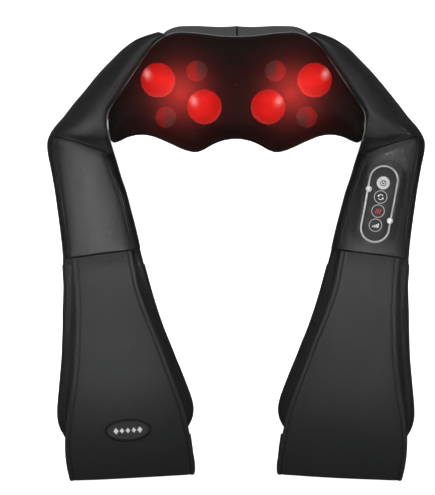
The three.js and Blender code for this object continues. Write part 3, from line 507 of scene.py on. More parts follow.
def mesh_material():
    """Stretched knitted mesh: staggered round holes in shiny black yarn, with a painted red glow over the rotors
    standing in for the light of the lamps behind it.
    """
    g = Nodes("mesh_fabric")
    x, y, _ = g.split()
    pitch = 1 / 0.00165
    hole = None
    for ox in (0.0, 0.5):
        fx = g.math("SUBTRACT", g.math("FRACT", g.math("ADD", g.math("MULTIPLY", x, pitch), 500 + ox)), 0.5)
        fy = g.math("SUBTRACT", g.math("FRACT", g.math("ADD", g.math("MULTIPLY", y, pitch / 1.732), 500 + ox)), 0.5)
        fy = g.math("MULTIPLY", fy, 1.732)
        d = g.math("SQRT", g.math("ADD", g.math("MULTIPLY", fx, fx), g.math("MULTIPLY", fy, fy)))
        hole = d if hole is None else g.math("MINIMUM", hole, d)
    yarn = g.ramp(hole, [(0.165, 0.0), (0.215, 1.0)])
    # painted light: a red glow round each rotor, in place of the lamps' light on the fabric, given out as emission
    painted_lamp_glow = None
    for sx in (-1, 1):
        dx, dy = g.math("SUBTRACT", x, sx * ROTOR_X / 1000), g.math("SUBTRACT", y, (ROTOR_Y + CY) / 1000)
        r2 = g.math("ADD", g.math("MULTIPLY", dx, dx), g.math("MULTIPLY", dy, dy))
        e = g.math("EXPONENT", g.math("MULTIPLY", r2, -1 / 0.028**2))
        painted_glow_spread = g.math("MULTIPLY", g.math("EXPONENT", g.math("MULTIPLY", r2, -1 / 0.052**2)), 0.18)
        e = g.math("ADD", e, painted_glow_spread)
        painted_lamp_glow = e if painted_lamp_glow is None else g.math("ADD", painted_lamp_glow, e)
    thread = g.noise(3000, 2)
    g.link(g.mix(thread, (0.0040, 0.0040, 0.0039), (0.0095, 0.0092, 0.0088)), g.p.inputs["Base Color"])
    g.link(g.mix(g.math("MULTIPLY", painted_lamp_glow, 0.83, clamp=True), (0.0, 0.0, 0.0), (1.0, 0.062, 0.050)), g.p.inputs["Emission Color"])
    g.p.inputs["Emission Strength"].default_value = 0.50
    g.link(yarn, g.p.inputs["Alpha"])
    g.link(g.math("ADD", g.math("MULTIPLY", thread, 0.2), 0.48), g.p.inputs["Roughness"])
    g.link(g.bump(g.ramp(hole, [(0.3, 0.0), (0.5, 1.0)]), 0.8, 0.0002), g.p.inputs["Normal"])
    g.p.inputs["Specular IOR Level"].default_value = 0.05
    return g.mat


def node_material(name, strength, rough=0.3):
    """Red silicone with painted light as its emission: a point attribute holds a painted red glow in place of the lamp
    inside, painted shade and a painted highlight.
    """
    g = Nodes(name)
    painted_light = g.new("ShaderNodeAttribute", attribute_name="painted_light").outputs["Color"]
    t = g.noise(70, 3)
    g.link(g.mix(g.math("MULTIPLY", t, 0.10), painted_light, (0.35, 0.0, 0.0)), g.p.inputs["Emission Color"])
    g.p.inputs["Emission Strength"].default_value = strength
    g.link(g.mix(t, (0.50, 0.010, 0.008), (0.62, 0.014, 0.010)), g.p.inputs["Base Color"])
    g.link(g.math("ADD", g.math("MULTIPLY", g.noise(200, 3), 0.10), rough - 0.05), g.p.inputs["Roughness"])
    g.link(g.bump(g.noise(900, 2), 0.2, 0.00008), g.p.inputs["Normal"])
    return g.mat


def lens_material():
    g = Nodes("lamp_lens")
    x = g.noise(240, 2)
    g.link(g.mix(x, (0.30, 0.01, 0.006), (0.45, 0.03, 0.02)), g.p.inputs["Base Color"])
    g.link(g.mix(x, (1.0, 0.03, 0.02), (1.0, 0.18, 0.10)), g.p.inputs["Emission Color"])
    g.p.inputs["Emission Strength"].default_value = 0.08
    g.link(g.math("ADD", g.math("MULTIPLY", x, 0.1), 0.1), g.p.inputs["Roughness"])
    g.link(g.bump(g.voronoi(700), 0.3, 0.0001), g.p.inputs["Normal"])
    return g.mat


def thread_material(name, colour):
    g = Nodes(name)
    tw = g.noise(4200, 3, 0.7)
    g.link(g.mix(tw, [c * 0.6 for c in colour], [c * 1.3 for c in colour]), g.p.inputs["Base Color"])
    g.link(g.math("ADD", g.math("MULTIPLY", tw, 0.2), 0.45), g.p.inputs["Roughness"])
    g.link(g.bump(tw, 0.6, 0.0001), g.p.inputs["Normal"])
    return g.mat


M = dict(
    leather=leather("leather_cover", (0.0095, 0.0097, 0.0103), (0.0170, 0.0173, 0.0181), rough=(0.35, 0.47)),
    strap=leather("strap_leather", (0.0200, 0.0206, 0.0212), (0.0320, 0.0329, 0.0337), rough=(0.46, 0.56), grain=0.85, spec=0.4),
    seam=leather("seam_leather", (0.0030, 0.0030, 0.0032), (0.0055, 0.0056, 0.0058), grain=0.6, crease=0.2, spec=0.15),
    # the side panels' leather is a darker copy of the cover leather: painted shade
    gusset=leather("shaded_gusset_leather", (0.0055, 0.0055, 0.0058), (0.0095, 0.0096, 0.0100), grain=0.8, crease=0.3, spec=0.28),
    hem=plastic("mesh_hem", (0.0040, 0.0040, 0.0040), 0.7, spark=0.6, spec=0.06, scale=1500),
    pad=leather("pad_leather", (0.0085, 0.0087, 0.0090), (0.0150, 0.0153, 0.0158), rough=(0.42, 0.55), spec=0.35),
    band=leather("top_band_leather", (0.0720, 0.0724, 0.0728), (0.1080, 0.1088, 0.1096), rough=(0.42, 0.54), grain=0.8),
    inner=plastic("tub_inside", (0.010, 0.010, 0.011), 0.7),
    piping=leather("piping", (0.18, 0.182, 0.182), (0.26, 0.263, 0.263), rough=(0.34, 0.44), grain=0.5, crease=0.1, spec=0.3),
    thread=thread_material("sewing_thread", (0.034, 0.035, 0.036)),
    thread_black=thread_material("black_thread", (0.0030, 0.0030, 0.0032)),
    black_steel=metal("blackened_steel", (0.055, 0.055, 0.058), 0.42),
    mesh=mesh_material(),
    ball=node_material("large_node", 1.53),
    small=node_material("small_node", 1.53),
    housing=plastic("housing_plastic", (0.012, 0.012, 0.013), 0.5),
    deck=plastic("deck_plastic", (0.022, 0.022, 0.024), 0.5),
    nylon=plastic("gear_nylon", (0.055, 0.055, 0.058), 0.42, spark=0.25),
    steel=metal("steel", (0.55, 0.56, 0.58), 0.28),
    can=metal("motor_steel", (0.085, 0.086, 0.09), 0.40),
    brass=metal("brass", (0.62, 0.42, 0.13), 0.30),
    silver=satin("silver_trim", (0.47, 0.47, 0.47), 0.40, 0.35),
    chrome=satin("chrome", (0.86, 0.86, 0.86), 0.14, 0.30),
    panel=plastic("panel_plastic", (0.022, 0.0225, 0.0235), 0.60, spark=0.8, spec=0.2, scale=1800),
    button=plastic("button_plastic", (0.018, 0.0185, 0.0195), 0.50, spark=0.3, spec=0.2),
    power=plastic("power_cap", (0.50, 0.505, 0.51), 0.36, spark=0.3, spec=0.35),
    ring=plastic("button_ring", (0.50, 0.50, 0.51), 0.40, spark=0.2),
    icon=plastic("icon_white", (0.85, 0.85, 0.85), 0.45, spark=0.2),
    icon_dark=plastic("icon_dark", (0.05, 0.05, 0.055), 0.45, spark=0.2),
    icon_red=plastic("icon_red", (0.55, 0.02, 0.02), 0.4, spark=0.2),
    board=board_material(),
    lens=lens_material(),
    badge=plastic("badge_leather", (0.040, 0.041, 0.041), 0.48, spark=0.5),
)
# the red heat symbol gets a faint painted glow as emission
g = M["icon_red"].node_tree.nodes
next(n for n in g if n.type == "BSDF_PRINCIPLED").inputs["Emission Color"].default_value = (1.0, 0.03, 0.03, 1)
next(n for n in g if n.type == "BSDF_PRINCIPLED").inputs["Emission Strength"].default_value = 0.15


def wear(ob, material):
    ob.data.materials.clear()
    ob.data.materials.append(material)


# ------------------------------------------------------------------ helpers: seams, beads and stitches laid on a surface
def drape(tree, xy, lift=0.0, high=400.0):
    """Points of a surface under xy, seen from above, and its smoothed normals. xy off the surface keeps the nearest height."""
    pts, nrm = [], []
    for x, y in xy:
        hit, n, _, _ = tree.ray_cast(Vector((x, y, high)), Vector((0, 0, -1)))
        if hit is None:
            near, n, _, _ = tree.find_nearest(Vector((x, y, 40)))
            hit = Vector((x, y, near.z))
        if n.z < 0:
            n = -n
        pts.append(hit)
        nrm.append(n)
    pts, nrm = np.array(pts, float), np.array(nrm, float)
    k = 2
    pad = np.pad(nrm, ((k, k), (0, 0)), mode="edge")
    nrm = sum(pad[i : i + len(nrm)] for i in range(2 * k + 1))
    nrm /= np.linalg.norm(nrm, axis=1, keepdims=True)
    return pts + nrm * lift, nrm


def sideways(p, n, closed=False):
    """Unit vectors across a line on a surface."""
    t = (np.roll(p, -1, 0) - np.roll(p, 1, 0)) if closed else np.gradient(p, axis=0)
    s = np.cross(n, t)
    return s / np.maximum(np.linalg.norm(s, axis=1, keepdims=True), 1e-9)


def seam(name, path, tree, side=1.0, width=2.6, height=0.7, step=1.4, taper=True):
    """A sewn seam seen from above: two rolled lips with a dark valley between them, laid on the surface."""
    xy = curve(path, step)
    c, n = drape(tree, xy)
    across = sideways(c, n)
    offs = np.array([-1, -0.85, -0.66, -0.46, -0.36, 0.36, 0.46, 0.66, 0.85, 1]) * width
    ups = np.array([-0.5, 0.3, 0.9, 0.75, 0.24, 0.24, 0.75, 0.9, 0.3, -0.5]) * height
    m = len(offs)
    rows = np.zeros((len(xy), m, 3))
    for j, o in enumerate(offs):
        p, _ = drape(tree, (c + across * o)[:, :2])
        rows[:, j] = p + n * ups[j]
    if taper:
        k = min(5, len(xy) // 3)
        for i in range(k):
            for r in (i, len(xy) - 1 - i):
                rows[r] -= n[r] * height * (1 - i / k) * 1.2
    faces = grid_faces(len(xy), m, wrap_cols=False, cap=False)
    index = [1 if j in (3, 4, 5) else 0 for _ in range(len(xy) - 1) for j in range(m - 1)]
    ob = build(name, rows.reshape(-1, 3), faces, [M["leather"], M["seam"]], side=side, indices=index)
    return ob


def tube(name, p, n, radius, material, side=1.0, sides=8, closed=False, lift=0.0):
    """A round cord along points p with surface normals n."""
    p = np.asarray(p, float) + np.asarray(n, float) * lift
    s = sideways(p, n, closed)
    rows = []
    for k in range(sides):
        a = 2 * math.pi * k / sides
        rows.append(p + radius * (math.cos(a) * s + math.sin(a) * n))
    v = np.stack(rows, 1).reshape(-1, 3)
    return build(name, v, grid_faces(len(p), sides, True, closed, cap=not closed), material, side=side)


def stitches(name, lines, side=1.0, pitch=4.2, length=3.0, radius=0.42, material=None):
    """A row of thread stitches along each (points, normals) line, each one a short capsule that dips at its ends."""
    verts, faces = [], []
    for p, n in lines:
        s = np.concatenate([[0], np.cumsum(np.linalg.norm(np.diff(p, axis=0), axis=1))])
        for c in np.arange(pitch, s[-1] - pitch, pitch):
            q = np.stack([[np.interp(c + f * length / 2, s, p[:, k]) for k in range(3)] for f in (-1, -0.6, 0, 0.6, 1)])
            m = np.array([np.interp(c, s, n[:, k]) for k in range(3)])
            m /= np.linalg.norm(m)
            t = q[-1] - q[0]
            t /= np.linalg.norm(t)
            w = np.cross(m, t)
            k0 = len(verts)
            for (r, up), at in zip(((0.3, -0.35), (0.85, 0.1), (1.0, 0.28), (0.85, 0.1), (0.3, -0.35)), q):
                for i in range(6):
                    a = math.pi * i / 3
                    verts.append(at + m * up + radius * r * (math.cos(a) * w + math.sin(a) * m))
            faces += [tuple(k0 + i for i in f) for f in grid_faces(5, 6)]
    return build(name, verts, faces, material or M["thread"], side=side)


def dent(ob, path, depth, radius, up=True):
    """Presses a soft groove along a path into the top of a mesh, in millimetres."""
    v = table_mm(ob)
    d, at = distance_to(path, v[:, :2])
    me = ob.data
    nz = np.zeros(len(me.vertices) * 3, np.float32)
    me.vertex_normals.foreach_get("vector", nz)
    nz = nz.reshape(-1, 3)
    w = np.exp(-((d / radius) ** 2)) * np.clip(nz[:, 2] * 2.5, 0, 1)
    v -= nz * (depth * w)[:, None]
    set_coords(ob, to_world(v))


def above_floor(ob):
    """Flattens what would poke under the surface the object lies on."""
    c = coords(ob)
    c[:, 2] = np.maximum(c[:, 2], 0.0001)
    set_coords(ob, c)


def ripple(ob, amount, scale, seed, mask=None):
    """Uneven stuffing: smooth noise along the normals, in millimetres."""
    v = table_mm(ob)
    me = ob.data
    n = np.zeros(len(v) * 3, np.float32)
    me.vertex_normals.foreach_get("vector", n)
    n = n.reshape(-1, 3)
    k = rows_noise(v + 700, scale, seed) * amount
    if mask is not None:
        k *= mask(v)
    set_coords(ob, to_world(v + n * k[:, None]))


# ------------------------------------------------------------------ the outline of the head
OUTLINE = smooth_closed([*RIM[:-1], *[[-p[0], p[1]] for p in RIM[::-1][:-1]]], 3.2)
TUB = [[0, 14, 4], [2.5, 8.5, 5], [9, 4, 7], [22, 1.6, 9.5], [46, 1, 10], [RIM_Z, 1, 0]]


def head_ring(outline, z, pull, bulge):
    x, y = outline[:, 0], outline[:, 1]
    cx = np.clip(x * 0.7, -95, 95)
    l = np.hypot(cx - x, ROTOR_Y - y)
    share = np.where(y > 285, np.clip((118 - np.abs(x)) / 22, 0, 1), 0)
    share = smooth01(share)
    k = share * bulge * (1 + 0.80 * np.clip(1 - np.abs(x) / 118, 0, 1) ** 1.2)
    return np.stack([x + (cx - x) / l * pull, y + (ROTOR_Y - y) / l * pull + k, np.full(len(x), z)], 1)


def tub_at(z):
    t = np.interp(z, [r[0] for r in TUB], range(len(TUB)))
    return spline(TUB)(t)[0][1:]


# back cover: outer skin up to the rim, over it, and down the inside to the floor of the tub
def towards_spine(ring, k):
    """The ring drawn in towards a line along the middle of the head."""
    spine = np.column_stack([np.clip(ring[:, 0] * 0.7, -95, 95), np.full(len(ring), ROTOR_Y), ring[:, 2]])
    return ring + (spine - ring) * k


TOP_HALF = (OUTLINE[:, 1] > np.interp(np.abs(OUTLINE[:, 0]), [0, 168], [240, 186])) | (np.abs(OUTLINE[:, 0]) > 169.5)
rings = [towards_spine(head_ring(OUTLINE, 0, *tub_at(0)), k) for k in (0.97, 0.75, 0.5, 0.25)]
for z in (0, 0.8, 2.5, 5, 9, 14, 22, 30, 38, 46, 53, 59, 64, 68, 70.6):
    off, b = tub_at(z)
    rings.append(head_ring(OUTLINE, z, off, b))
rings.append(head_ring(OUTLINE, 71.7, 1.5, 0))
rings.append(head_ring(OUTLINE, RIM_Z, 2.6, 0))
rings.append(head_ring(OUTLINE, RIM_Z, 5.0, 0))
rings.append(head_ring(OUTLINE, 71, 6.0, 0))
for z, off, b in ((46, 6, 5), (22, 6.6, 4), (9, 10.5, 3), (5, 15, 3)):
    rings.append(head_ring(OUTLINE, z, off, b))
rings += [towards_spine(rings[-1], k) for k in (0.25, 0.5, 0.75, 0.97)]
m = len(OUTLINE)
faces = grid_faces(len(rings), m)
n_cap = (len(faces) - (len(rings) - 1) * m) // 2
index = [2 if i >= 21 else 0 for i in range(len(rings) - 1) for _ in range(m)] + [0] * n_cap + [2] * n_cap
for i in range(6, 21):
    for j in range(m):
        x, y = OUTLINE[j]
        if y > 292 and abs(x) < 112 and i >= 13:
            index[i * m + j] = 1
        elif not TOP_HALF[j]:
            index[i * m + j] = 3
back = build("head_back_leather", np.vstack(rings), faces, [M["leather"], M["band"], M["inner"], M["hem"]], indices=index)
face_out(back)
auto_smooth(back, 50)
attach(back, "head")
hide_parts("head_back_cover")


# ------------------------------------------------------------------ sleeves: shoulder and upper arm in one padded leather skin
def sleeve_rows():
    rows = []
    for i in range(12, 0, -1):
        t, far = min(1, i / 4), max(0, (i - 8) / 4)
        zb, zo = 24 + (3 - 24) * t, 43 + (26 - 43) * t + 6 * far
        zc, zi = (66.0, 71.0, 75.5, 79.0, 81.3, 82.0)[min(i, 6) - 1] - 4 * far, (61.5, 69.5, 73.2, 74.0)[min(i, 4) - 1]
        rows.append([*SHOULDER_OUT[i], *SHOULDER_IN[i], zb, zo, zc, zi, 0.5 + 0.34 * t, 0.62 + 0.38 * t, 0.72 + 0.28 * t])
    rows.append([-261, HINGE_Y, -172, HINGE_Y, 24, 43, 62, 46, 0.5, 0.62, 0.72])
    for i in range(1, 9):
        mid = (ARM_TOP[i] + ARM_BOTTOM[i]) / 2
        k = float(np.interp(i, [0, 1, 5, 8], [0.3, 1, 1, 0]))
        rows.append([*ARM_OUT[i], *ARM_IN[i], ARM_BOTTOM[i], mid, ARM_TOP[i], mid, 0.5, 0.62 + 0.2 * k, 0.72 + 0.15 * k])
    return rows


SLEEVE = spline(sleeve_rows())
N_OUT_TOP, N_IN_TOP, N_IN_LOW, N_OUT_LOW = 17, 12, 12, 12
N_RING = N_OUT_TOP + N_IN_TOP + N_IN_LOW + N_OUT_LOW


def sleeve_ring(t, inset=0.0):
    r = SLEEVE(t)[0]
    o, i = r[0:2], r[2:4]
    zb, zo, zc, zi, uc, ex, ez = r[4:]
    w = np.linalg.norm(i - o)
    a = np.linspace(0, math.pi / 2, 60)

    def arc(x0, x1, z0, z1, px, pz):  # from (x0, z0) round to (x1, z1)
        return np.stack([x1 + (x0 - x1) * np.cos(a) ** px, z0 + (z1 - z0) * np.sin(a) ** pz], 1)

    parts = []
    for pts, n in (
        (arc(0, uc * w, zo, zc, ex, ez), N_OUT_TOP),
        (arc(w, uc * w, zi, zc, ex, ez)[::-1], N_IN_TOP),
        (arc(w, uc * w, zi, zb, 0.5, 0.55), N_IN_LOW),
        (arc(0, uc * w, zo, zb, 0.5, 0.55)[::-1], N_OUT_LOW),
    ):
        parts.append(even(pts, n=n + 1)[:-1])
    q = np.vstack(parts)
    if inset:
        tangent = np.roll(q, -1, 0) - np.roll(q, 1, 0)
        normal = np.stack([tangent[:, 1], -tangent[:, 0]], 1)
        normal /= np.maximum(np.linalg.norm(normal, axis=1, keepdims=True), 1e-9)
        mid = np.array([w / 2, (zb + zc) / 2])
        q = q + normal * inset * np.sign(((mid - q) * normal).sum(1, keepdims=True))
    u = q[:, 0] / w
    return np.stack([o[0] + (i[0] - o[0]) * u, o[1] + (i[1] - o[1]) * u, q[:, 1]], 1)


def keep_off_head(v, gap=0.7):
    """Moves points that are inside the head's back cover out to its wall."""
    v = v.copy()
    near = np.nonzero((v[:, 1] > 150) & (v[:, 2] < 76))[0]
    levels = np.round(v[near, 2] / 3).astype(int)
    for level in np.unique(levels):
        z = min(max(level * 3.0, 0), RIM_Z)
        off, b = tub_at(z)
        poly = head_ring(OUTLINE, z, off - gap, b + 0.4)[:, :2]
        ids = near[levels == level]
        hit = inside(poly, v[ids, :2])
        for k in ids[hit]:
            p = v[k, :2]
            a, c = poly, np.roll(poly, -1, 0)
            d = c - a
            t = np.clip(((p - a) * d).sum(1) / np.maximum((d * d).sum(1), 1e-9), 0, 1)
            q = a + d * t[:, None]
            v[k, :2] = q[np.argmin(((q - p) ** 2).sum(1))]
    return v


def panel_matrix():
    y, p = math.radians(PANEL["yaw"]), math.radians(PANEL["pitch"])
    rz = np.array([[math.cos(y), -math.sin(y), 0], [math.sin(y), math.cos(y), 0], [0, 0, 1]])
    rx = np.array([[1, 0, 0], [0, math.cos(p), -math.sin(p)], [0, math.sin(p), math.cos(p)]])
    return rx @ rz, np.array([PANEL["x"], PANEL["y"], PANEL["z"]])


PR, PT = panel_matrix()


def on_panel(v):
    """Panel coordinates to table millimetres."""
    return np.asarray(v, float) @ PR.T + PT


def stadium(length, width, n=40):
    r, h = width / 2, length / 2 - width / 2
    a = np.linspace(0, math.pi, n)
    top = np.stack([r * np.cos(a), h + r * np.sin(a)], 1)
    return np.vstack([top, -top])


def stadium_distance(p):
    h = PANEL["len"] / 2 - PANEL["wid"] / 2
    y = np.clip(p[:, 1], -h, h)
    return np.hypot(p[:, 0], p[:, 1] - y) - PANEL["wid"] / 2


LAST = len(sleeve_rows()) - 1
centre = SLEEVE(np.linspace(0, LAST, 400))
mid = np.stack([(centre[:, 0] + centre[:, 2]) / 2, (centre[:, 1] + centre[:, 3]) / 2], 1)
run = np.concatenate([[0], np.cumsum(np.linalg.norm(np.diff(mid, axis=0), axis=1))])
STATIONS = np.interp(np.arange(0, run[-1], 3.6), run, np.linspace(0, LAST, 400))
STATIONS = STATIONS[STATIONS < LAST - 0.12]
END_R = 5.0
ends = [(LAST - 0.25 * e / 6.0, END_R - math.sqrt(max(0, END_R**2 - (END_R - e) ** 2))) for e in (5.0, 3.4, 2.0, 1.0, 0.35, 0.05)]
STATIONS = [(float(t), 0.0) for t in STATIONS if t < ends[0][0] - 0.08] + ends

# seams: outer and inner gusset lines along the arm, the slanted shoulder seam, and the creases by the top corner
SHOULDER_SEAM = [[-254, 166.8], [-236, 162.6], [-216.9, 157.5], [-194.8, 150.1], [-174, 142.9]]
OUTER_GUSSET = [[-251.5, 160], [-252.2, 146], [-249.3, 127], [-246.2, 108], [-243.4, 88], [-240.4, 64], [-237.4, 40], [-235.0, 18], [-233.6, 1]]
INNER_GUSSET = [[-178.6, 141.5], [-173.0, 125.5], [-167.0, 107.0], [-160.6, 88.5], [-154.8, 67.0], [-149.0, 45.0], [-144.0, 25.0], [-141.0, 12.0]]
TOP_CREASE = [[-98.2, 305.0], [-108, 303.2], [-120, 300.9], [-133, 297.3], [-145.7, 292.5]]

sleeves = {}
for side, sign in SIDES:
    ringset = [sleeve_ring(t, d) for t, d in STATIONS]
    v = np.vstack(ringset)
    v = keep_off_head(v)
    n_rows = len(ringset)
    faces = grid_faces(n_rows, N_RING)
    sleeve = build(f"{side}_sleeve", v, faces, [M["leather"]], side=sign)
    face_out(sleeve)
    # pins: the wall against the head, the underside, the ends and the seam lines
    j = np.tile(np.arange(N_RING), n_rows)
    row = np.repeat(np.arange(n_rows), N_RING)
    t = np.repeat([s[0] for s in STATIONS], N_RING)
    pin = np.zeros(len(v))
    pin[(j >= N_OUT_TOP + N_IN_TOP) & (j <= N_RING - 3)] = 1
    pin[(j == 0) | (j >= N_RING - 2)] = 0.6
    pin[(t < 12) & (j >= N_OUT_TOP + 7)] = 1
    pin[row >= n_rows - 5] = 1
    pin[row < 3] = 1
    for line, r in ((SHOULDER_SEAM, 2.6), (OUTER_GUSSET, 2.4), (INNER_GUSSET, 2.4)):
        d, _ = distance_to(curve(line, 3), v[:, :2])
        pin[(d < r) & (j < N_OUT_TOP + N_IN_TOP)] = 1
    if sign < 0:
        local = (mirror(v, -1) - PT) @ PR
        d = stadium_distance(local)
        pin[(d < 5) & (j < N_OUT_TOP + N_IN_TOP)] = 1
    inflate(sleeve, pin, pressure=4.0, cap=3.4)
    if sign > 0:
        v = keep_off_head(table_mm(sleeve))
        set_coords(sleeve, to_world(v))
    else:
        v = mirror(keep_off_head(mirror(table_mm(sleeve), -1)), -1)
        local = (v - PT) @ PR
        d = stadium_distance(local)
        top = (np.abs(local[:, 2]) < 12) & (d < 12)
        k = (1 - smooth01((d - 2) / 10)) * top
        local[:, 2] += (0.5 - local[:, 2]) * k
        set_coords(sleeve, to_world(local @ PR.T + PT))
    subdivide(sleeve)
    ripple(sleeve, 0.45, 26, 3 if sign > 0 else 4, mask=lambda q: np.where(q[:, 2] > 30, 1.0, 0.3))
    m_side = lambda path: [[p[0] * sign, p[1]] for p in path]
    for line, depth, radius in ((SHOULDER_SEAM, 2.6, 6.0), (OUTER_GUSSET, 1.0, 4.0), (INNER_GUSSET, 1.0, 4.0), (TOP_CREASE, 0.9, 4.5)):
        dent(sleeve, curve(m_side(line), 2), depth, radius)
    if sign < 0:  # the recess for the control panel
        ring = stadium(PANEL["len"] + 0.7, PANEL["wid"] + 0.7)
        m = len(ring)
        block = np.vstack([np.column_stack([ring, np.full(m, z)]) for z in (-9.6, 25.0)])
        cutter = build("cutter", on_panel(block), grid_faces(2, m), [M["leather"]])
        face_out(cutter)
        mod = sleeve.modifiers.new("recess", "BOOLEAN")
        mod.operation, mod.object, mod.solver = "DIFFERENCE", cutter, "EXACT"
        bake(sleeve)
        bpy.data.objects.remove(cutter)
    sleeve.data.polygons.foreach_set("use_smooth", [True] * len(sleeve.data.polygons))
    auto_smooth(sleeve, 60)
    above_floor(sleeve)
    # the side gussets, outside the two long seams, and the faces turned downwards take a darker copy of the cover
    # leather: the panels are real, their darker colour is painted shade
    sleeve.data.materials.clear()
    for mat in (M["leather"], M["gusset"]):
        sleeve.data.materials.append(mat)
    n_poly = len(sleeve.data.polygons)
    mid_p, nor_p = np.zeros(n_poly * 3, np.float32), np.zeros(n_poly * 3, np.float32)
    sleeve.data.polygons.foreach_get("center", mid_p)
    sleeve.data.polygons.foreach_get("normal", nor_p)
    mid_p, nor_p = mid_p.reshape(-1, 3) * 1000, nor_p.reshape(-1, 3)
    px, py = mid_p[:, 0] * sign, mid_p[:, 1] - CY
    o_line, i_line = np.array(OUTER_GUSSET), np.array(INNER_GUSSET)
    beyond = (px < np.interp(-py, -o_line[:, 1], o_line[:, 0])) | (px > np.interp(-py, -i_line[:, 1], i_line[:, 0]))
    slant = np.interp(px, [q[0] for q in SHOULDER_SEAM], [q[1] for q in SHOULDER_SEAM])
    dark = (beyond & (py < slant)) | (nor_p[:, 2] < -0.15)
    sleeve.data.polygons.foreach_set("material_index", dark.astype(np.int32))
    sleeves[side] = sleeve

for side, sign in SIDES:
    x = -216.5 * sign
    dict(start=tuple(to_world([[x, 167.5, 45]])[0]), end=tuple(to_world([[x, 126.0, 45]])[0]))


def crossing(ob):
    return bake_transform(ob)


for side, sign in SIDES:
    tree = tree_of(sleeves[side])
    flip = lambda path: [[p[0] * sign, p[1]] for p in path]
    for name, line, w, h in (("shoulder_seam", SHOULDER_SEAM, 2.5, 0.85), ("outer_gusset_seam", OUTER_GUSSET, 1.9, 0.6), ("inner_gusset_seam", INNER_GUSSET, 1.9, 0.6)):
        ob = seam(f"{side}_{name}", flip(line), tree, width=w, height=h)
        crossing(ob)
    ob = seam(f"{side}_top_corner_seam", flip(TOP_CREASE), tree, width=1.8, height=0.5)
    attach(ob, "head")
    lines = []
    base = curve(flip(SHOULDER_SEAM), 1.5)
    c, n = drape(tree, base)
    for o in (-4.6, 4.6):
        q, nn = drape(tree, (c + sideways(c, n) * o)[:, :2], lift=0.1)
        lines.append((q[3:-3], nn[3:-3]))
    ob = stitches(f"{side}_shoulder_stitches", lines, material=M["thread"], pitch=4.0, radius=0.36)
    crossing(ob)
    crossing(sleeves[side])
    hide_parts(f"{side}_shoulder_cover", f"{side}_shoulder_foam", f"{side}_upper_arm_cover", f"{side}_upper_arm_foam")

# ------------------------------------------------------------------ mesh front and its piping
def dome_z(d, x):
    t = np.clip(d / DOME_D, 0, 1)
    return RIM_Z + GAP + DOME_H * np.sqrt(np.maximum(0, 1 - (1 - t) ** 2)) - 7 * t * np.exp(-((x / 24) ** 2))


def outline_at(x):
    """Lower and upper edge of the opening at x."""
    lo, hi = [], []
    o = np.vstack([OUTLINE, OUTLINE[:1]])
    for q in x:
        ys = []
        for a, b in zip(o[:-1], o[1:]):
            if (a[0] - q) * (b[0] - q) <= 0 and a[0] != b[0]:
                ys.append(a[1] + (b[1] - a[1]) * (q - a[0]) / (b[0] - a[0]))
        lo.append(min(ys))
        hi.append(max(ys))
    return np.array(lo), np.array(hi)


half = np.sin(np.linspace(0, math.pi / 2, 74)) * 174.6
xs = np.concatenate([-half[::-1], half[1:]])
lo, hi = outline_at(xs)
R = 44
mesh_pts = []
for x, a, b in zip(xs, lo, hi):
    a, b = a + 1.0, b - 1.0
    s = 0.5 - 0.5 * np.cos(np.pi * np.arange(R + 1) / R)
    mesh_pts.append(np.stack([np.full(R + 1, x), a + (b - a) * s], 1))
mesh_pts = np.vstack(mesh_pts)
d, _ = distance_to(np.vstack([OUTLINE, OUTLINE[:1]]), mesh_pts)
z = dome_z(np.maximum(d - 1.0, 0), mesh_pts[:, 0]) - 0.25
zz = z.reshape(len(xs), R + 1)
for _ in range(14):
    inner = (zz[:-2, 1:-1] + zz[2:, 1:-1] + zz[1:-1, :-2] + zz[1:-1, 2:]) / 4
    keep = smooth01((d.reshape(zz.shape)[1:-1, 1:-1] - 2) / 8)
    zz[1:-1, 1:-1] += (inner - zz[1:-1, 1:-1]) * keep
z = zz.ravel()
z += rows_noise(np.column_stack([mesh_pts, z]) + 900, 40, 12) * 0.35 * smooth01(d / 20)
verts = np.column_stack([mesh_pts, z])
faces = grid_faces(len(xs), R + 1, wrap_cols=False, cap=False)
front = build("mesh_front", verts, faces, M["mesh"])
if np.mean([p.normal.z for p in front.data.polygons]) < 0:
    front.data.flip_normals()
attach(front, "head")
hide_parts("mesh_front_cover")

rim = head_ring(OUTLINE, RIM_Z, -0.3, 0)
rim[:, 2] += 0.9 + 2.3 * smooth01((np.abs(rim[:, 0]) - 88) / 22)
idx = np.nonzero(TOP_HALF)[0]
gap_at = int(np.argmax(np.diff(np.concatenate([idx, [idx[0] + len(OUTLINE)]])) > 1))
order = np.roll(idx, -(gap_at + 1))
cord = even(rim[order], 2.4)
ob = tube("rim_piping_top", cord, np.tile([0.0, 0, 1], (len(cord), 1)), 0.72, M["piping"])
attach(ob, "head")
rim = head_ring(OUTLINE, RIM_Z, 0.9, 0)
idx = np.nonzero(~TOP_HALF)[0]
gap_at = int(np.argmax(np.diff(np.concatenate([idx, [idx[0] + len(OUTLINE)]])) > 1))
order = np.roll(idx, -(gap_at + 1))
low = even(rim[order], 2.4)
ob = tube("rim_piping_low", low, np.tile([0.0, 0, 1], (len(low), 1)), 0.9, M["hem"], lift=0.5)
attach(ob, "head")
# the middle seam of the top band
wall = tree_of(back)
mid_line = []
for z in np.linspace(68, 6, 34):
    hit, n, _, _ = wall.ray_cast(Vector((1.3, 420, z)), Vector((0, -1, 0)))
    mid_line.append((hit, n))
p = np.array([h for h, _ in mid_line]); n = np.array([q for _, q in mid_line])
s = sideways(p, n)
rows = [p + n * u + s * o for o, u in ((-2.2, -0.3), (-1.8, 0.35), (-1.2, 0.55), (-0.7, 0.05), (0.7, 0.05), (1.2, 0.55), (1.8, 0.35), (2.2, -0.3))]
ob = build("top_band_seam", np.stack(rows, 1).reshape(-1, 3), grid_faces(len(p), 8, wrap_cols=False, cap=False), [M["band"], M["seam"]], indices=[1 if k in (2, 3, 4) else 0 for _ in range(len(p) - 1) for k in range(7)])
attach(ob, "head")


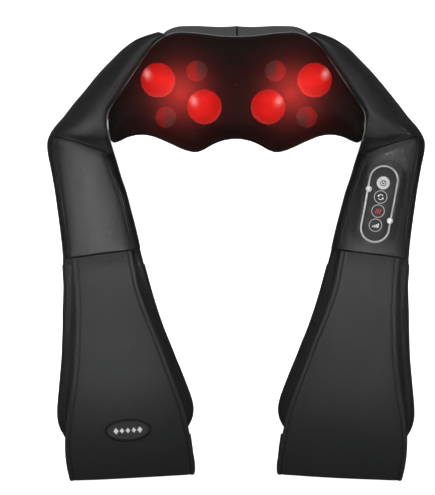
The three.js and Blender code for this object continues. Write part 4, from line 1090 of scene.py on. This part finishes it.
# ------------------------------------------------------------------ loop back pads
def pad_mesh(side, sign):
    """A crowned pad: the outline goes round a rolled edge, and the top and bottom run across between its two long sides."""
    outline = smooth_open(PAD, 4.0)
    m = len(outline)
    tangent = np.roll(outline, -1, 0) - np.roll(outline, 1, 0)
    nrm = np.stack([tangent[:, 1], -tangent[:, 0]], 1)
    nrm /= np.linalg.norm(nrm, axis=1, keepdims=True)
    area2 = np.sum(outline[:, 0] * np.roll(outline[:, 1], -1) - np.roll(outline[:, 0], -1) * outline[:, 1])
    out = nrm * (1 if area2 > 0 else -1)
    rows = []
    # underside, edge and top, each as (inwards, height)
    prof = [(16, 0.0), (10, 0.0), (6, 0.05), (3.2, 0.7), (1.4, 2.2), (0.4, 4.6), (0.0, 7.4), (0.4, 10.0), (1.5, 12.2), (3.4, 13.7), (6, 14.4), (10, 14.7), (16, 14.9)]
    for inw, z in prof:
        q = outline - out * inw
        rows.append(np.column_stack([q, np.full(m, z)]))
    # rings further in shrink towards a spine along the middle
    spine_y = np.clip(outline[:, 1], -205, -32)
    spine_x = np.interp(-spine_y, [32, 205], [-181, -155])
    spine = np.stack([spine_x, spine_y], 1)
    inner = outline - out * 16
    for k in (0.2, 0.42, 0.64, 0.84, 0.97):
        rows.append(np.column_stack([inner + (spine - inner) * k, np.full(m, 14.9)]))
    for k in (0.97, 0.6, 0.25):
        rows.insert(0, np.column_stack([inner + (spine - inner) * (1 - (1 - k)), np.full(m, 0.0)])) if k == 0.97 else rows.insert([0.97, 0.6, 0.25].index(k), np.column_stack([inner + (spine - inner) * k, np.full(m, 0.0)]))
    v = np.vstack(rows)
    ob = build(f"{side}_loop_pad", v, grid_faces(len(rows), m), [M["pad"]], side=sign)
    face_out(ob)
    return ob, m, len(rows)


pads = {}
for side, sign in SIDES:
    ob, m, n_rows = pad_mesh(side, sign)
    v = table_mm(ob)
    pin = np.where(v[:, 2] < 5, 1.0, 0.0)
    d, _ = distance_to(np.vstack([smooth_open(PAD, 4.0), smooth_open(PAD, 4.0)[:1]]), mirror(v, sign)[:, :2])
    pin[(v[:, 2] < 13) & (d < 4)] = 1.0
    pin[(np.abs(d - 9.5) < 2.2) & (v[:, 2] > 12)] = 1.0
    pin[(mirror(v, sign)[:, 1] > -12)] = 1.0
    inflate(ob, pin, pressure=4.0, cap=3.0)
    subdivide(ob)
    ripple(ob, 0.35, 30, 8 if sign > 0 else 9, mask=lambda q: np.where(q[:, 2] > 9, 1.0, 0.0))
    border = smooth_open(PAD, 3.0)
    # sewn line 9.5 mm in from the edge
    tangent = np.roll(border, -1, 0) - np.roll(border, 1, 0)
    nrm = np.stack([tangent[:, 1], -tangent[:, 0]], 1) / np.linalg.norm(tangent, axis=1, keepdims=True)
    area2 = np.sum(border[:, 0] * np.roll(border[:, 1], -1) - np.roll(border[:, 0], -1) * border[:, 1])
    inw = -nrm if area2 > 0 else nrm
    line = border + inw * 9.5
    line = line[(line[:, 1] < -10)]
    start = int(np.argmax(np.linalg.norm(np.roll(line, 1, 0) - line, axis=1)))
    line = np.roll(line, -start, 0)
    line[:, 0] *= sign
    dent(ob, even(line, 3), 1.0, 3.4)
    if sign < 0:
        n = 28
        a = 2 * np.pi * np.arange(n) / n
        rr = INLET["r"] + 0.45
        block = np.vstack([np.column_stack([INLET["x"] + rr * np.cos(a), np.full(n, y), INLET["z"] + rr * np.sin(a)]) for y in (INLET["y"] - 12, INLET["y"] + 12)])
        cutter = build("cutter", block, grid_faces(2, n), [M["pad"]])
        face_out(cutter)
        mod = ob.modifiers.new("bore", "BOOLEAN")
        mod.operation, mod.object, mod.solver = "DIFFERENCE", cutter, "EXACT"
        bake(ob)
        bpy.data.objects.remove(cutter)
        auto_smooth(ob, 50)
    tree = tree_of(ob)
    p, nn = drape(tree, even(line, 1.6), lift=0.15)
    st = stitches(f"{side}_pad_stitches", [(p, nn)], pitch=4.4, length=3.1, radius=0.36)
    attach(st, f"{side}_arm")
    # welt round the edge, where the two halves of the pad are sewn together
    edge = smooth_open(PAD, 3.0)
    edge = edge[edge[:, 1] < -8]
    start = int(np.argmax(np.linalg.norm(np.roll(edge, 1, 0) - edge, axis=1)))
    edge = np.roll(edge, -start, 0)
    tangent = np.gradient(edge, axis=0)
    out = np.stack([tangent[:, 1], -tangent[:, 0]], 1) / np.linalg.norm(tangent, axis=1, keepdims=True)
    c = edge.mean(0)
    if ((edge - c) * out).sum() < 0:
        out = -out
    if sign < 0:
        gap = np.abs(edge[:, 0] + INLET["x"]) < 7
        keep = ~((gap) & (edge[:, 1] < -240))
    else:
        keep = np.ones(len(edge), bool)
    runs, cur = [], []
    for i, k in enumerate(keep):
        if k:
            cur.append(i)
        elif cur:
            runs.append(cur); cur = []
    if cur:
        runs.append(cur)
    for r, ids in enumerate(runs):
        if len(ids) < 4:
            continue
        q = np.column_stack([edge[ids], np.full(len(ids), 7.6)])
        w = tube(f"{side}_pad_welt_{r + 1}", mirror(q, sign), mirror(np.column_stack([out[ids], np.zeros(len(ids))]), sign), 1.1, M["seam"])
        face_out(w)
        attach(w, f"{side}_arm")
    above_floor(ob)
    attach(ob, f"{side}_arm")
    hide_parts(f"{side}_loop_back_pad")
    pads[side] = ob

# ------------------------------------------------------------------ hand straps
HEM = 6.6
S_ROWS = spline(STRAP)
fine = S_ROWS(np.linspace(0, len(STRAP) - 1, 800))
mid3 = np.stack([(fine[:, 0] + fine[:, 2]) / 2, (fine[:, 1] + fine[:, 3]) / 2, fine[:, 4]], 1)
run = np.concatenate([[0], np.cumsum(np.linalg.norm(np.diff(mid3, axis=0), axis=1))])
S_T = np.interp(np.arange(0, run[-1], 2.6), run, np.linspace(0, len(STRAP) - 1, 800))
S_T = np.append(S_T, len(STRAP) - 1)
straps = {}


def strap_frames():
    r = S_ROWS(S_T)
    o = np.stack([r[:, 0], r[:, 1], r[:, 4]], 1)
    i = np.stack([r[:, 2], r[:, 3], r[:, 4]], 1)
    m = (o + i) / 2
    t = np.gradient(m, axis=0)
    t[:, 0] = 0
    t /= np.linalg.norm(t, axis=1, keepdims=True)
    n = np.stack([np.zeros(len(t)), -t[:, 2], t[:, 1]], 1) * -1
    return o, i, n, t


S_O, S_I, S_N, S_D = strap_frames()
if S_N[len(S_N) // 3, 2] < 0:
    S_N = -S_N


def strap_profile(w):
    """(distance from the outer edge, lift of the face) across the strap: a rolled hem, its stitch groove, a crowned middle."""
    h = STRAP_T / 2
    top = [(0.0, 0.0), (0.15, 0.55), (0.6, 1.1), (1.3, 1.5), (2.6, 1.85), (4.2, 1.85), (5.4, 1.6), (HEM - 0.5, 0.95), (HEM, 0.75), (HEM + 0.5, 0.95), (HEM + 1.6, 1.35), (HEM + 4, 1.6)]
    inner = np.linspace(HEM + 4, w - HEM - 4, 22)[1:-1]
    crown = [(x, 1.6 + 0.35 * math.sin(math.pi * (x - HEM - 4) / (w - 2 * HEM - 8))) for x in inner]
    face = top + crown + [(w - x, z) for x, z in top[::-1]]
    under = [(w - 0.15, -0.55), (w - 0.8, -1.3), (w - 2.2, -h)] + [(x, -h) for x in np.linspace(w - 6, 6, 10)] + [(2.2, -h), (0.8, -1.3), (0.15, -0.55)]
    return face + under


N_PROF = len(strap_profile(90.0))
for side, sign in SIDES:
    rows = []
    for k in range(len(S_T)):
        o, i, n = S_O[k], S_I[k], S_N[k]
        w = np.linalg.norm(i - o)
        e = (i - o) / w
        pr = strap_profile(w)
        rows.append([o + e * x + n * z for x, z in pr])
    v = np.array(rows)
    # the stitch grooves along both hems take the seam material
    n_top = len(strap_profile(90.0)) - 16
    strap_index = []
    for _ in range(len(rows) - 1):
        strap_index += [1 if j == 8 or j == n_top - 10 else 0 for j in range(N_PROF)]
    strap_faces = grid_faces(len(rows), N_PROF)
    strap_index += [0] * (len(strap_faces) - len(strap_index))
    ob = build(f"{side}_strap", v.reshape(-1, 3), strap_faces, [M["strap"], M["seam"]], side=sign, indices=strap_index)
    face_out(ob)
    ripple(ob, 0.28, 30, 21 if sign > 0 else 22)
    above_floor(ob)
    auto_smooth(ob, 55)
    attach(ob, f"{side}_arm")
    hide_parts(f"{side}_hand_strap")
    straps[side] = ob
    lines = []
    last = int(np.argmin(S_O[:, 1])) + 4
    for a, b in ((S_O, S_I), (S_I, S_O)):
        e = (b - a) / np.linalg.norm(b - a, axis=1, keepdims=True)
        p = (a + e * HEM + S_N * 0.85)[2:last]
        lines.append((even(mirror(p, sign), 1.5), mirror(spline(S_N[2:last])(np.linspace(0, last - 3, len(even(p, 1.5)))), sign)))
    st = stitches(f"{side}_strap_stitches", lines, pitch=5.4, length=3.2, radius=0.58, material=M["thread_black"])
    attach(st, f"{side}_arm")
    # a row of stitches across the top edge
    k = 2
    o, i, n, dd = S_O[k], S_I[k], S_N[k], S_D[k]
    e = (i - o) / np.linalg.norm(i - o)
    w = np.linalg.norm(i - o)
    p = np.array([o + e * x + n * (1.72 + 0.3 * math.sin(math.pi * x / w)) for x in np.linspace(HEM, w - HEM, 60)])
    st = stitches(f"{side}_strap_top_stitches", [(mirror(p, sign), mirror(np.tile(n, (len(p), 1)), sign))], pitch=5.4, length=3.2, radius=0.5, material=M["thread_black"])
    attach(st, f"{side}_arm")

# ------------------------------------------------------------------ badge: a plain oval plate with a raised rim and a generic motif
strap_tree = tree_of(straps["left"])
tilt = math.radians(4)


def badge_xy(q, a, grow=0.0):
    u, v = (q * BADGE["a"] + grow) * math.cos(a), (q * BADGE["b"] + grow) * math.sin(a)
    return BADGE["x"] + u * math.cos(tilt) - v * math.sin(tilt), BADGE["y"] + u * math.sin(tilt) + v * math.cos(tilt)


n = 72
ang = [2 * math.pi * k / n for k in range(n)]
rows = []
for q, upz in ((1.0, -0.3), (1.0, 0.9), (0.985, 1.3), (0.955, 1.5), (0.925, 1.35), (0.9, 1.0), (0.87, 0.85), (0.6, 0.95), (0.3, 1.0), (0.08, 1.0)):
    xy = np.array([badge_xy(q, a) for a in ang])
    p, _ = drape(strap_tree, xy)
    rows.append(p + np.array([0, 0, upz]))
badge = build("badge_plate", np.vstack(rows), grid_faces(len(rows), n), M["badge"])
face_out(badge)
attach(badge, "left_arm"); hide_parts("badge")
xy = np.array([badge_xy(1.0, a, 3.2) for a in ang])
p, nn = drape(strap_tree, xy)
ob = tube("badge_surround", p, nn, 0.7, M["seam"], closed=True, lift=0.1)
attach(ob, "left_arm")
badge_tree = tree_of(badge)
verts, faces = [], []


def tile(points, z0=0.02, z1=0.22):
    """A thin raised shape on the badge, from its outline in badge coordinates."""
    k = len(verts)
    m = len(points)
    for z in (z0, z1):
        for u, v in points:
            x = BADGE["x"] + u * math.cos(tilt) - v * math.sin(tilt)
            y = BADGE["y"] + u * math.sin(tilt) + v * math.cos(tilt)
            hit, _ = drape(badge_tree, [(x, y)])
            verts.append(hit[0] + np.array([0, 0, z]))
    faces.extend([tuple(range(k, k + m))[::-1], tuple(range(k + m, k + 2 * m))])
    faces.extend([(k + i, k + (i + 1) % m, k + m + (i + 1) % m, k + m + i) for i in range(m)])


for cx, s in ((-16.4, 4.6), (-8.2, 3.9), (0.0, 3.9), (8.2, 3.9), (16.4, 4.6)):
    tile([(cx - s * 0.8, 0), (cx, -s), (cx + s * 0.8, 0), (cx, s)])
ob = build("badge_motif", verts, faces, M["icon"], smooth=False)
face_out(ob)
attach(ob, "left_arm")


# ------------------------------------------------------------------ control panel
def panel_piece(name, v, faces, material, body, smooth=True, indices=None):
    ob = build(name, on_panel(v), faces, material, smooth=smooth, indices=indices)
    face_out(ob)
    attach(ob, body)
    return ob


def offset_stadium(d, z, n=40):
    s = stadium(PANEL["len"] + 2 * d, PANEL["wid"] + 2 * d, n)
    return np.column_stack([s, np.full(len(s), z)])


# rounded trim ring
section = []
for k in range(14):
    a = 2 * math.pi * k / 14
    section.append((-1.2 + 1.2 * math.cos(a), 0.85 + 0.85 * math.sin(a) * (1.0 if math.sin(a) > 0 else 1.0)))
rows = [offset_stadium(d, z) for d, z in section]
m = len(rows[0])
ob = panel_piece("panel_trim_ring", np.vstack(rows), grid_faces(len(rows), m, True, True, cap=False), M["silver"], "right_arm")
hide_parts("trim_ring")
# dished face with button wells
bm_rows = [offset_stadium(-2.7, -2.2), offset_stadium(-2.7, 0.1), offset_stadium(-3.4, 0.45), offset_stadium(-4.6, 0.35), offset_stadium(-8, 0.15), offset_stadium(-14, 0.1), offset_stadium(-19.8, 0.1)]
ob = panel_piece("panel_face_plate", np.vstack(bm_rows), grid_faces(len(bm_rows), m), M["panel"], "right_arm")
for name, y, r in BUTTONS:
    n = 48
    a = 2 * np.pi * np.arange(n) / n
    block = np.vstack([np.column_stack([(r + 0.3) * np.cos(a), y + (r + 0.3) * np.sin(a), np.full(n, z)]) for z in (-6, 6)])
    cutter = build("cutter", on_panel(block), grid_faces(2, n), M["panel"])
    face_out(cutter)
    mod = ob.modifiers.new("well", "BOOLEAN")
    mod.operation, mod.object, mod.solver = "DIFFERENCE", cutter, "EXACT"
    bake(ob)
    bpy.data.objects.remove(cutter)
auto_smooth(ob, 40)
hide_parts("panel_face")


def lathe(profile, n=48, cx=0.0, cy=0.0):
    """Points and faces of a profile of (radius, z), closed at the axis where the radius is 0."""
    v, f, rings = [], [], []
    for r, z in profile:
        if r < 1e-6:
            rings.append([len(v)])
            v.append((cx, cy, z))
        else:
            rings.append(list(range(len(v), len(v) + n)))
            v += [(cx + r * math.cos(2 * math.pi * k / n), cy + r * math.sin(2 * math.pi * k / n), z) for k in range(n)]
    for a, b in zip(rings[:-1], rings[1:]):
        for k in range(n):
            q = (k + 1) % n
            if len(a) == 1 and len(b) == 1:
                continue
            if len(a) == 1:
                f.append((a[0], b[k], b[q]))
            elif len(b) == 1:
                f.append((a[k], a[q], b[0]))
            else:
                f.append((a[k], a[q], b[q], b[k]))
    return np.array(v, float), f


for k, (x, y) in enumerate(((-PANEL["wid"] / 2 + 2.2, 18.6), (PANEL["wid"] / 2 - 2.2, -20.0))):
    v, f = lathe([(0, 1.6), (3.3, 1.6), (3.9, 2.0), (4.3, 2.8), (4.25, 3.6), (3.9, 4.6), (3.2, 5.5), (2.2, 6.1), (1.1, 6.4), (0, 6.5)], 36, x, y)
    ob = panel_piece(f"panel_bead_{k + 1}", v, f, M["chrome"], "right_arm")
    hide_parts(f"trim_stud_{k + 1}")

for name, y, r in BUTTONS:
    top = 2.3 if name == "power_button" else 1.6
    prof = [(0, -3.7), (1.9, -3.7), (1.9, -0.9), (r, -0.8), (r, top - 0.75), (r - 0.12, top - 0.4), (r - 0.4, top - 0.12), (r - 0.9, top), (r - 1.6, top - 0.04), (r - 2.6, top - 0.18), (r - 5, top - 0.26), (0, top - 0.3)]
    v, f = lathe(prof, 56, 0, y)
    if name == "power_button":
        ob = panel_piece(name + "_cap", v, f, M["power"], name)
    else:
        ob = panel_piece(name + "_cap", v, f, M["button"], name)
    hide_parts(name)
    if name != "power_button":
        a = np.linspace(0, 2 * math.pi, 61)[:-1]
        p = np.column_stack([(r + 0.5) * np.cos(a), y + (r + 0.5) * np.sin(a), np.full(60, 0.42)])
        q = on_panel(p)
        ob = tube(name + "_ring", q, np.tile(PR[:, 2], (60, 1)), 0.46, M["ring"], closed=True)
        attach(ob, "right_arm")

# generic button symbols, as thin raised strips
def strip(points, width, z, closed=False):
    """A flat-topped raised line with the given width through points (x, y) of the panel."""
    p = np.asarray(points, float)
    t = (np.roll(p, -1, 0) - np.roll(p, 1, 0)) if closed else np.gradient(p, axis=0)
    s = np.stack([-t[:, 1], t[:, 0]], 1) / np.maximum(np.linalg.norm(t, axis=1, keepdims=True), 1e-9)
    rows = []
    for o, h in ((-0.5, -0.25), (-0.5, 0.12), (-0.3, 0.2), (0.3, 0.2), (0.5, 0.12), (0.5, -0.25)):
        q = p + s * o * width
        rows.append(np.column_stack([q, np.full(len(p), z + h)]))
    v = np.stack(rows, 1).reshape(-1, 3)
    return v, grid_faces(len(p), 6, True, closed, cap=not closed)


def joined(parts):
    v, f = [], []
    for a, b in parts:
        f += [tuple(i + len(v) for i in q) for q in b]
        v += list(a)
    return np.array(v), f


def arc_points(cx, cy, r, a0, a1, n=20):
    a = np.radians(np.linspace(a0, a1, n))
    return np.column_stack([cx + r * np.cos(a), cy + r * np.sin(a)])


by = {n: y for n, y, _ in BUTTONS}
z = 2.3 - 0.26
y0 = by["power_button"]
v, f = lathe([(0, z - 0.2), (4.3, z - 0.2), (4.3, z + 0.16), (4.0, z + 0.26), (0, z + 0.26)], 40, 0, y0)
ob = panel_piece("power_button_disc", v, f, M["icon_dark"], "power_button")
v, f = joined([strip(arc_points(0, y0, 2.3, 130, 410, 30), 0.75, z + 0.2), strip([(0, y0 + 0.4), (0, y0 + 1.6), (0, y0 + 3.1)], 0.75, z + 0.2)])
ob = panel_piece("power_symbol", v, f, M["icon"], "power_button")
z = 1.6 - 0.24
y0 = by["direction_button"]
parts = []
for a in (35, 215):
    parts.append(strip(arc_points(0, y0, 3.5, a, a + 118, 20), 0.85, z))
    e = math.radians(a + 128)
    ex, ey = 3.5 * math.cos(e), y0 + 3.5 * math.sin(e)
    tx, ty = -math.sin(e), math.cos(e)
    nx, ny = math.cos(e), math.sin(e)
    tri = [(ex + tx * 1.5, ey + ty * 1.5), (ex - tx * 0.9 + nx * 1.5, ey - ty * 0.9 + ny * 1.5), (ex - tx * 0.9 - nx * 1.5, ey - ty * 0.9 - ny * 1.5)]
    parts.append((np.array([(x, y, zz) for zz in (z - 0.2, z + 0.2) for x, y in tri]), [(0, 1, 2), (5, 4, 3), (0, 3, 4, 1), (1, 4, 5, 2), (2, 5, 3, 0)]))
v, f = joined(parts)
ob = panel_piece("direction_symbol", v, f, M["icon"], "direction_button")
y0 = by["heat_button"]
parts = []
for cx in (-2.7, 0.0, 2.7):
    t = np.linspace(-1, 1, 22)
    parts.append(strip(np.column_stack([cx + 0.6 * np.sin(t * math.pi), y0 + 3.4 * t]), 1.05, z))
v, f = joined(parts)
ob = panel_piece("heat_symbol", v, f, M["icon_red"], "heat_button")
y0 = by["intensity_button"]
parts = []
for k, cx in enumerate((-3.6, -1.2, 1.2, 3.6)):
    h = 1.6 + 1.45 * k
    parts.append(strip([(cx, y0 - 3.0), (cx, y0 - 3.0 + h * 0.5), (cx, y0 - 3.0 + h)], 1.6, z))
v, f = joined(parts)
ob = panel_piece("intensity_symbol", v, f, M["icon"], "intensity_button")

# ------------------------------------------------------------------ kneading nodes
for side, sign in SIDES:
    for k in range(4):
        size = "large" if k < 2 else "small"
        deg, at, r, zc = (LARGE_DEG, LARGE_AT, LARGE_R, LARGE_Z) if size == "large" else (SMALL_DEG, SMALL_AT, SMALL_R, SMALL_Z)
        a = math.radians(deg + 180 * (k % 2))
        cx, cy = -ROTOR_X + at * math.cos(a), ROTOR_Y + at * math.sin(a)
        bore = 4.35
        top = (7 if size == "large" else 3) + 0.6
        prof = [(0, zc + top), (bore, zc + top), (bore, zc - math.sqrt((r - 0.15) ** 2 - (bore + 0.5) ** 2) + 0.2), (bore + 0.5, zc - math.sqrt((r - 0.15) ** 2 - (bore + 0.5) ** 2))]
        a0 = math.asin((bore + 0.9) / r)
        for q in range(1, 30):
            b = a0 + (math.pi - a0) * q / 30
            rr = r - 0.28 * math.exp(-(((b - math.pi * 0.5) * r / 0.9) ** 2))  # the moulding line round the middle
            prof.append((rr * math.sin(b), zc - rr * math.cos(b)))
        prof.append((0, zc + r))
        v, f = lathe(prof, 56, cx, cy)
        node = f"{side}_{size}_node_{k % 2 + 1}"
        body = f"{side}_{size}_{k % 2 + 1}"
        ob = build(node + "_skin", v, f, M["ball"] if size == "large" else M["small"], side=sign)
        face_out(ob)
        q = mirror(table_mm(ob), sign)
        e = (q - np.array([cx, cy, zc])) / r
        rad = np.hypot(e[:, 0], e[:, 1])
        if size == "large":
            # painted light on the large nodes: a red glow in place of the lamp inside, painted shade towards the rim, a
            # painted lighter rim on the side facing the hub and a painted pinkish highlight
            edge = smooth01((rad - 0.25) / 0.75)[:, None]
            painted_light_colour = np.array([0.66, 0.003, 0.002]) * (1 - edge) + np.array([0.43, 0.001, 0.001]) * edge
            painted_hub_light = np.clip(e[:, 0] * 0.55 - e[:, 1] * 0.83, 0, 1)[:, None] * smooth01((rad - 0.72) / 0.28)[:, None]
            painted_light_colour += painted_hub_light * np.array([0.14, 0.055, 0.045]) * 0.35
            painted_highlight = np.exp(-(((e[:, 0] + 0.60) * 0.92 + (e[:, 1] - 0.30) * 0.35) / 0.17) ** 2 - ((-(e[:, 0] + 0.60) * 0.35 + (e[:, 1] - 0.30) * 0.92) / 0.26) ** 2)[:, None]
            painted_light_colour = painted_light_colour + painted_highlight * (np.array([0.72, 0.31, 0.29]) - painted_light_colour) * 0.85 * (e[:, 2:] > -0.2)
        else:
            # painted light on the small nodes: the outer half glows red, the inner half is painted unlit and dark, with
            # painted shade towards the rim
            k = smooth01((e[:, 0:1] + 0.22) / 0.44)
            painted_light_colour = np.array([0.16, 0.006, 0.005]) * (1 - k) + np.array([0.006, 0.016, 0.015]) * k
            painted_light_colour *= 1 - 0.35 * smooth01((rad - 0.6) / 0.4)[:, None]
        # the painted light goes into the point attribute that the node material gives out as emission
        painted_light = ob.data.color_attributes.new("painted_light", "FLOAT_COLOR", "POINT")
        painted_light.data.foreach_set("color", np.column_stack([painted_light_colour / (0.20 if size == "large" else 0.20), np.ones(len(painted_light_colour))]).astype(np.float32).ravel())
        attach(ob, body)
        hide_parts(node)

# ------------------------------------------------------------------ supply inlet
prof = [(0, -11), (4.9, -11), (5.2, -10.6), (5.2, 0.9), (5.9, 1.0), (6.3, 1.3), (6.35, 1.8), (6.1, 2.2), (5.4, 2.35), (4.2, 2.3), (3.5, 2.1), (3.1, 1.6), (3.1, -8), (1.05, -8), (1.05, 0.8), (0.8, 1.1), (0, 1.3)]
v, f = lathe(prof, 44)
v = np.stack([INLET["x"] + v[:, 0], INLET["y"] - v[:, 2], INLET["z"] + v[:, 1]], 1)
ob = build("inlet_socket", v, f, M["housing"])
face_out(ob)
auto_smooth(ob, 35)
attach(ob, "right_arm"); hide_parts("supply_inlet")

# ------------------------------------------------------------------ finishes of the CAD nodes that keep their shape
FINISH = {
    "gearbox_lower_housing": "housing", "gearbox_upper_deck": "deck", "motor_can": "can", "motor_strap": "black_steel", "worm_shaft": "brass",
    "panel_tray": "housing", "button_board": "board",
}
for n in range(1, 5):
    FINISH[f"deck_screw_{n}"] = "black_steel"
for side, _ in SIDES:
    FINISH.update({f"{side}_idler_pin": "steel", f"{side}_idler_gear": "nylon", f"{side}_output_gear": "nylon", f"{side}_rotor_bush": "brass", f"{side}_node_carrier": "housing", f"{side}_lamp_board": "board", f"{side}_lamp_lens": "lens"})
for node, key in FINISH.items():
    wear(NODES[node], M[key])

# ------------------------------------------------------------------ floor, light and camera
scene = bpy.context.scene
me = bpy.data.meshes.new("floor")
me.from_pydata([(-6, -6, -0.0006), (6, -6, -0.0006), (6, 6, -0.0006), (-6, 6, -0.0006)], [], [(0, 1, 2, 3)])
floor = bpy.data.objects.new("floor", me)
scene.collection.objects.link(floor)
fm = Nodes("floor_pale")
fm.set(Base_Color=(0.86, 0.86, 0.86, 1), Roughness=0.9)
fm.p.inputs["Emission Color"].default_value = (1, 1, 1, 1)
fm.p.inputs["Emission Strength"].default_value = 0.88
me.materials.append(fm.mat)
floor.visible_diffuse = floor.visible_glossy = False  # the pale ground shows, but throws no light up into the edges

world = bpy.data.worlds.new("studio")
scene.world = world
world.use_nodes = True
world.node_tree.nodes["Background"].inputs[0].default_value = (1, 1, 1, 1)
world.node_tree.nodes["Background"].inputs[1].default_value = 0.13


def area_light(name, at, aim, size, power, colour=(1, 1, 1)):
    d = bpy.data.lights.new(name, "AREA")
    d.shape, d.size, d.size_y, d.energy, d.color = "RECTANGLE", size[0], size[1], power, colour
    o = bpy.data.objects.new(name, d)
    o.location = at
    o.rotation_euler = (Vector(aim) - Vector(at)).to_track_quat("-Z", "Y").to_euler()
    scene.collection.objects.link(o)
    return o


soft = area_light("soft", (-0.1, 0.2, 2.85), (0.0, 0.0, 0.05), (2.2, 2.2), 42)
soft.visible_glossy = False
area_light("key", (0.12, 2.25, 1.6), (0.0, 0.1, 0.05), (1.3, 0.5), 24)
for x, power, top in ((-1, 0.22, 0.050), (1, 0.17, 0.05)):  # narrow beams down the arms, and on the upper part of the straps
    lamp = area_light("arm_light", (x * 0.27, -0.78, 2.55), (x * 0.2, 0.065, 0.05), (0.17, 0.32), power)
    lamp.data.spread = math.radians(11)
    lamp = area_light("strap_light", (x * 0.20, 1.80, 2.45), (x * 0.175, -0.07, 0.06), (0.25, 0.3), top)
    lamp.data.spread = math.radians(12)

cam = bpy.data.cameras.new("camera")
cam_ob = bpy.data.objects.new("camera", cam)
scene.collection.objects.link(cam_ob)
scene.camera = cam_ob
cam_ob.location = (-0.02555, 0.01075, 3.0)
cam.lens, cam.sensor_width, cam.sensor_fit = 155.84, 36.0, "AUTO"
cam.clip_start, cam.clip_end = 0.05, 30.0
scene.view_settings.view_transform = "Standard"
scene.view_settings.look = "None"
